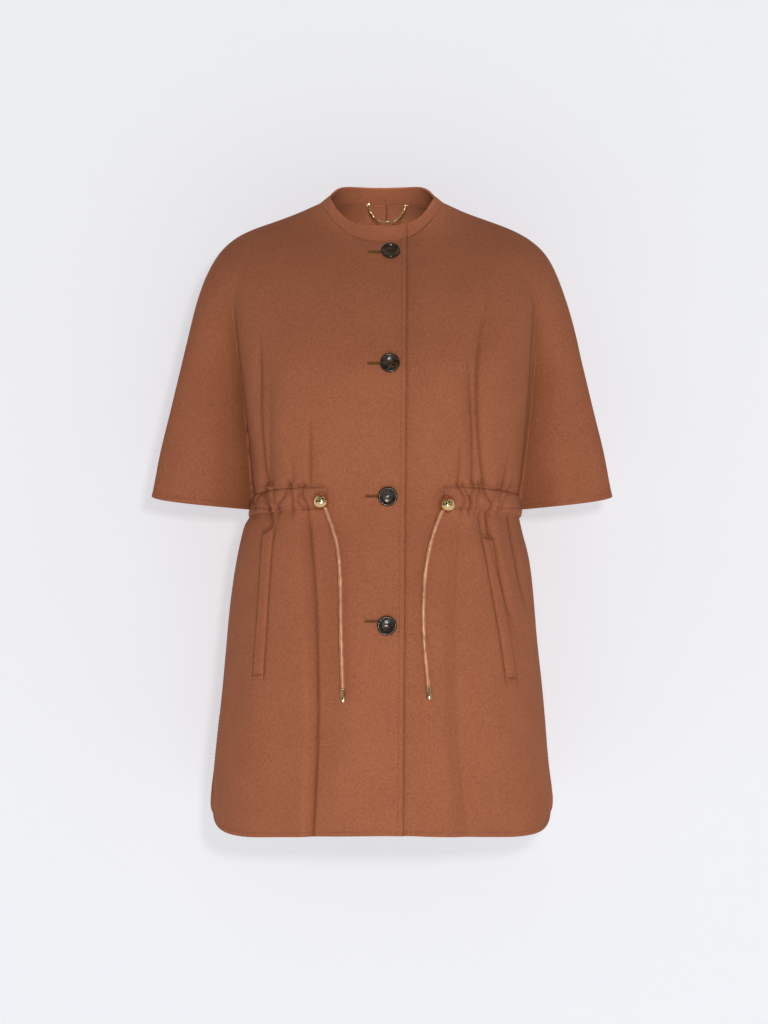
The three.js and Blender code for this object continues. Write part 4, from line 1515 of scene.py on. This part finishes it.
def button_mesh():
    """A button with a turned rim round a shallow dish and four holes right through."""
    rim = [
        (BUTTON_DISH, 2.2),
        (7.0, 2.45),
        (8.1, 2.95),
        (8.9, 3.6),
        (9.6, 4.0),
        (10.3, 4.1),
        (11.0, 3.85),
        (11.5, 3.3),
        (BUTTON_R, 2.5),
        (11.6, 1.5),
        (10.9, 0.8),
        (9.4, 0.3),
        (7.4, 0.05),
        (BUTTON_DISH, 0),
    ]
    steps = 48
    bm = turned_piece(rim, steps)
    spots = [(BUTTON_SPREAD * i, BUTTON_SPREAD * j) for i in (-1, 1) for j in (-1, 1)]
    rings = []
    for height in (lambda x, y: 2.2 - 0.5 * (1 - (x * x + y * y) / BUTTON_DISH**2), lambda x, y: 0):
        edges = add_ring(bm, (0, 0), BUTTON_DISH, steps, height)[1]
        holes = [add_ring(bm, spot, BUTTON_HOLE, 14, height) for spot in spots]
        for hole in holes:
            edges = edges + hole[1]
        rings.append([hole[0] for hole in holes])
        bmesh.ops.triangle_fill(bm, use_beauty=True, edges=edges, normal=(0, 0, 1))
    for top, foot in zip(*rings):
        for k in range(len(top)):
            bm.faces.new((top[k - 1], top[k], foot[k], foot[k - 1]))
    return close_up(bm)


class COAT_OT_buttons(bpy.types.Operator):
    """Makes the four horn buttons, each sewn on through its four holes"""

    bl_idname = "coat.buttons"
    bl_label = "Buttons"

    def execute(self, context):
        starts, ends = [], []
        spots = np.array(BUTTONS, float)
        places, ways = place_on("front", -1, -spots[:, 0], spots[:, 1])
        for k, (place, outward) in enumerate(zip(places, ways)):
            matrix = basis(outward, place + outward * BUTTON_LIFT)
            matrix = matrix @ Matrix.Rotation(BUTTON_TURNS[k], 4, "Z")
            bm = button_mesh()
            bmesh.ops.transform(bm, matrix=matrix, verts=bm.verts[:])
            obj = new_object(f"horn_button_{k + 1}", bm, finish("horn"))
            obj.data.set_sharp_from_angle(angle=math.radians(48))
            stand_for(obj, "button", f"button_{k + 1}")
            self.sew(starts, ends, matrix)
        threads = thread_object("button_threads", starts, ends, 0.27, finish("shade"))
        stand_for(threads, "wool")
        return {"FINISHED"}

    @staticmethod
    def sew(starts, ends, matrix):
        """Threads across the dish from hole to hole, and the shank of threads below the button."""

        def at(x, y, z):
            return matrix @ Vector((x * MM, y * MM, z * MM)) / MM

        s = BUTTON_SPREAD
        for y in (-s, s):
            for shift in (-0.32, 0.05, 0.4):
                starts += [at(-s, y + shift, 1.6), at(0, y + shift, 2.15)]
                ends += [at(0, y + shift, 2.15), at(s, y + shift, 1.6)]
        for k in range(7):
            a = math.tau * k / 7
            x, y = math.cos(a), math.sin(a)
            starts.append(at(x * 1.1, y * 1.1, -BUTTON_LIFT))
            ends.append(at(x * 0.9, y * 0.9, 0.2))


class COAT_OT_buttonholes(bpy.types.Operator):
    """Makes the four keyhole buttonholes: a bound slit with close stitches on both sides"""

    bl_idname = "coat.buttonholes"
    bl_label = "Buttonholes"

    def execute(self, context):
        spots = np.array(BUTTONS, float)
        rows = row_at("front", -1, -spots[:, 0], spots[:, 1])
        per_row = row_value("front_z", rows - 0.1) - row_value("front_z", rows + 0.1)
        starts, ends = self.stitches()
        parts = {"bound": (starts, ends, 0.36, "buttonhole"), "slit": (*self.slit(), 0.42, "shade")}
        for name, (first, last, radius, look) in parts.items():
            made = []
            for line in (first, last):
                line = np.array(line)
                x = line[None, :, 0] - spots[:, :1]
                row = rows[:, None] - line[None, :, 1] / (per_row[:, None] * 5)
                across = across_at("front", -1, row, x)
                lift = np.broadcast_to(line[:, 2], across.shape)
                made.append(cloth_point("front", -1, across, row, lift).reshape(-1, 3))
            obj = thread_object("buttonhole_" + name, *made, radius, finish(look))
            stand_for(obj, "wool")
        return {"FINISHED"}

    @staticmethod
    def stitches():
        """Stitches over both sides of the slit and round its far end: (along, up, out) for each."""
        starts, ends = [], []
        for x in np.arange(2, SLIT_LENGTH, 0.72):
            for way in (-1, 1):
                starts.append((x, way * 0.45, 0.28))
                ends.append((x + 0.1, way * 2.0, 0.12))
        for k in range(9):
            a = math.pi * (k / 8 - 0.5)
            starts.append((SLIT_LENGTH + 0.45 * math.cos(a), 0.45 * math.sin(a), 0.3))
            ends.append((SLIT_LENGTH + 2.1 * math.cos(a), 2.1 * math.sin(a), 0.12))
        return starts, ends

    @staticmethod
    def slit():
        """A dark line between the two sides, where only shade falls: a painted shadow of the slit.
        """
        return [(4, 0, -0.1), (14, 0, -0.1)], [(14.5, 0, -0.1), (SLIT_LENGTH, 0, -0.1)]


# ------------------------------------------------------------------ pocket welts
class COAT_OT_welts(bpy.types.Operator):
    """Makes the two slanted pocket welts with their bar tacks"""

    bl_idname = "coat.welts"
    bl_label = "Pocket welts"

    def execute(self, context):
        starts, ends = [], []
        for name, side in (("right", -1), ("left", 1)):
            along = np.linspace(0, 1, 90)
            over = np.linspace(-1, 1, 13)
            t, u = np.meshgrid(along, over, indexing="ij")
            w = WELT_LINES[side]
            x = mix(w["top_x"], w["end_x"], t) + u * WELT["half"]
            z = mix(mix(w["inner_top"], w["outer_top"], (u + 1) / 2), w["end"], t)
            row = row_at("front", side, x, z)
            across = across_at("front", side, row, x)
            tapered = np.minimum(smooth(t * 22), smooth((1 - t) * 26))
            round_off = np.sqrt(np.maximum(0, 1 - np.abs(u) ** 5))
            lift = 0.35 + WELT["thick"] * round_off * mix(0.35, 1, tapered)
            outer = cloth_point("front", side, across, row, lift)
            inner = cloth_point("front", side, across, row, 0.12)
            obj = new_object("welt_cloth_" + name, strip_mesh(outer, inner), finish("wool"))
            stand_for(obj, "wool", "welt_" + name)
            run = running((outer[2:-2, 10] + outer[2:-2, 11]) / 2, 4.2, 2.4)
            starts.append(run[0])
            ends.append(run[1])
            for i in (2, -3):
                way = outer[i + 1, 6] - outer[i - 1, 6]
                way *= 1.3 / np.linalg.norm(way)
                bar = mix(outer[i, 1:2], outer[i, -2:-1], np.linspace(0, 1, 11)[:, None])
                bar[:, 1] = outer[i, 1:-1, 1].min() - 0.1
                starts.append(bar - way)
                ends.append(bar + way)
        sewn = np.concatenate(starts), np.concatenate(ends)
        stand_for(thread_object("welt_stitches", *sewn, 0.32, finish("thread")), "wool")
        return {"FINISHED"}


# ------------------------------------------------------------------ hanger chain
CHAIN = {"right": -18, "left": 31, "y": 62.5, "z": 6.5, "sag": 20.5}
LINK = {"wire": 0.58, "round": 1.12, "long": 1.45, "pitch": 2.8}
# Its outline as (radius, height).
SWIVEL = [(0, 0), (0.9, 0), (1.3, 0.4), (1.0, 1.0), (1.35, 1.5), (1.35, 4.4), (0.9, 5.2), (0, 5.2)]


def chain_spot(x):
    """A place on the line that the chain hangs in."""
    middle, half = (CHAIN["right"] + CHAIN["left"]) / 2, (CHAIN["left"] - CHAIN["right"]) / 2
    drop = CHAIN["sag"] * (1 - np.abs((x - middle) / half) ** 3)
    return np.array([x, CHAIN["y"], CHAIN["z"] - drop])


class COAT_OT_chain(bpy.types.Operator):
    """Makes the hanger chain inside the back neck, with its sewn-on end rings and its swivel"""

    bl_idname = "coat.chain"
    bl_label = "Hanger chain"

    def execute(self, context):
        line = np.array([chain_spot(x) for x in np.linspace(CHAIN["right"], CHAIN["left"], 400)])
        along = np.concatenate([[0], np.cumsum(np.linalg.norm(np.diff(line, axis=0), axis=1))])
        count = int(along[-1] // LINK["pitch"])
        bm = bmesh.new()
        link = self.ring(LINK["round"], LINK["wire"], 14, 7)
        stretch = Matrix.Diagonal((LINK["long"], 1, 1, 1))
        for k in range(count):
            spot = (k + 0.5) * along[-1] / count
            place, ahead = (
                np.array([np.interp(s, along, line[:, i]) for i in range(3)])
                for s in (spot, spot + 0.5)
            )
            turn = Vector(ahead - place).to_track_quat("X", "Z").to_matrix().to_4x4()
            roll = Matrix.Rotation(math.radians(42 if k % 2 else -48), 4, "X")
            matrix = Matrix.Translation(Vector(place) * MM) @ turn @ roll @ stretch
            add_copy(bm, link, matrix)
        for x in (CHAIN["right"], CHAIN["left"]):
            place = Matrix.Translation(Vector((x, CHAIN["y"], CHAIN["z"] + 1.2)) * MM)
            add_copy(bm, self.ring(1.9, 0.45, 22, 8), place @ Matrix.Rotation(math.pi / 2, 4, "X"))
        swivel = mesh_of("swivel", close_up(turned_piece(SWIVEL, 20)))
        away = chain_spot(CHAIN["left"] - 2.5) - chain_spot(CHAIN["left"] - 0.5)
        add_copy(bm, swivel, basis(away, chain_spot(CHAIN["left"] - 0.8)))
        stand_for(new_object("chain_links", bm, finish("links")), "gilt", "hanger_chain")
        starts, ends = [], []
        for x in (CHAIN["right"], CHAIN["left"]):
            for k in range(5):
                shift = (k - 2) * 0.55
                starts.append((x + shift * 0.7, CHAIN["y"] - 0.6, CHAIN["z"] + 2.6))
                ends.append((x + shift, CHAIN["y"] + 2.2, CHAIN["z"] + 4.4))
        stand_for(thread_object("chain_tacks", starts, ends, 0.28, finish("thread")), "wool")
        return {"FINISHED"}

    @staticmethod
    def ring(radius, wire, steps, sides):
        """A mesh of a round ring that lies in the XY plane, in metres."""
        bm = bmesh.new()
        made = bmesh.ops.create_circle(bm, segments=sides, radius=wire * MM)["verts"]
        stand = Matrix.Translation((radius * MM, 0, 0)) @ Matrix.Rotation(math.pi / 2, 4, "X")
        bmesh.ops.transform(bm, matrix=stand, verts=made)
        spin_round(bm, steps)
        return mesh_of("ring", close_up(bm))


def add_copy(bm, mesh, matrix):
    """Adds a copy of a mesh, moved by a matrix."""
    before = len(bm.verts)
    bm.from_mesh(mesh)
    bm.verts.ensure_lookup_table()
    bmesh.ops.transform(bm, matrix=matrix, verts=bm.verts[before:])


# ------------------------------------------------------------------ panel, registration and run
OPERATORS = (
    COAT_OT_stage,
    COAT_OT_cords,
    COAT_OT_panels,
    COAT_OT_collar,
    COAT_OT_casings,
    COAT_OT_welts,
    COAT_OT_buttonholes,
    COAT_OT_buttons,
    COAT_OT_stitches,
    COAT_OT_chain,
)


class COAT_PT_tools(bpy.types.Panel):
    """Lists the coat's operators in the sidebar"""

    bl_label = "Cape coat"
    bl_idname = "COAT_PT_tools"
    bl_space_type = "VIEW_3D"
    bl_region_type = "UI"
    bl_category = "Cape coat"

    def draw(self, context):
        for operator in OPERATORS:
            self.layout.operator(operator.bl_idname)


CLASSES = (StageLooks, CoatLooks, *OPERATORS, COAT_PT_tools)


def register():
    for cls in CLASSES:
        bpy.utils.register_class(cls)
    bpy.types.Scene.coat_stage = bpy.props.PointerProperty(type=StageLooks)
    bpy.types.Scene.coat_looks = bpy.props.PointerProperty(type=CoatLooks)


def unregister():
    del bpy.types.Scene.coat_looks
    del bpy.types.Scene.coat_stage
    for cls in reversed(CLASSES):
        bpy.utils.unregister_class(cls)


def main():
    register()
    for operator in OPERATORS:
        group, name = operator.bl_idname.split(".")
        getattr(getattr(bpy.ops, group), name)()


if __name__ == "__main__":
    main()
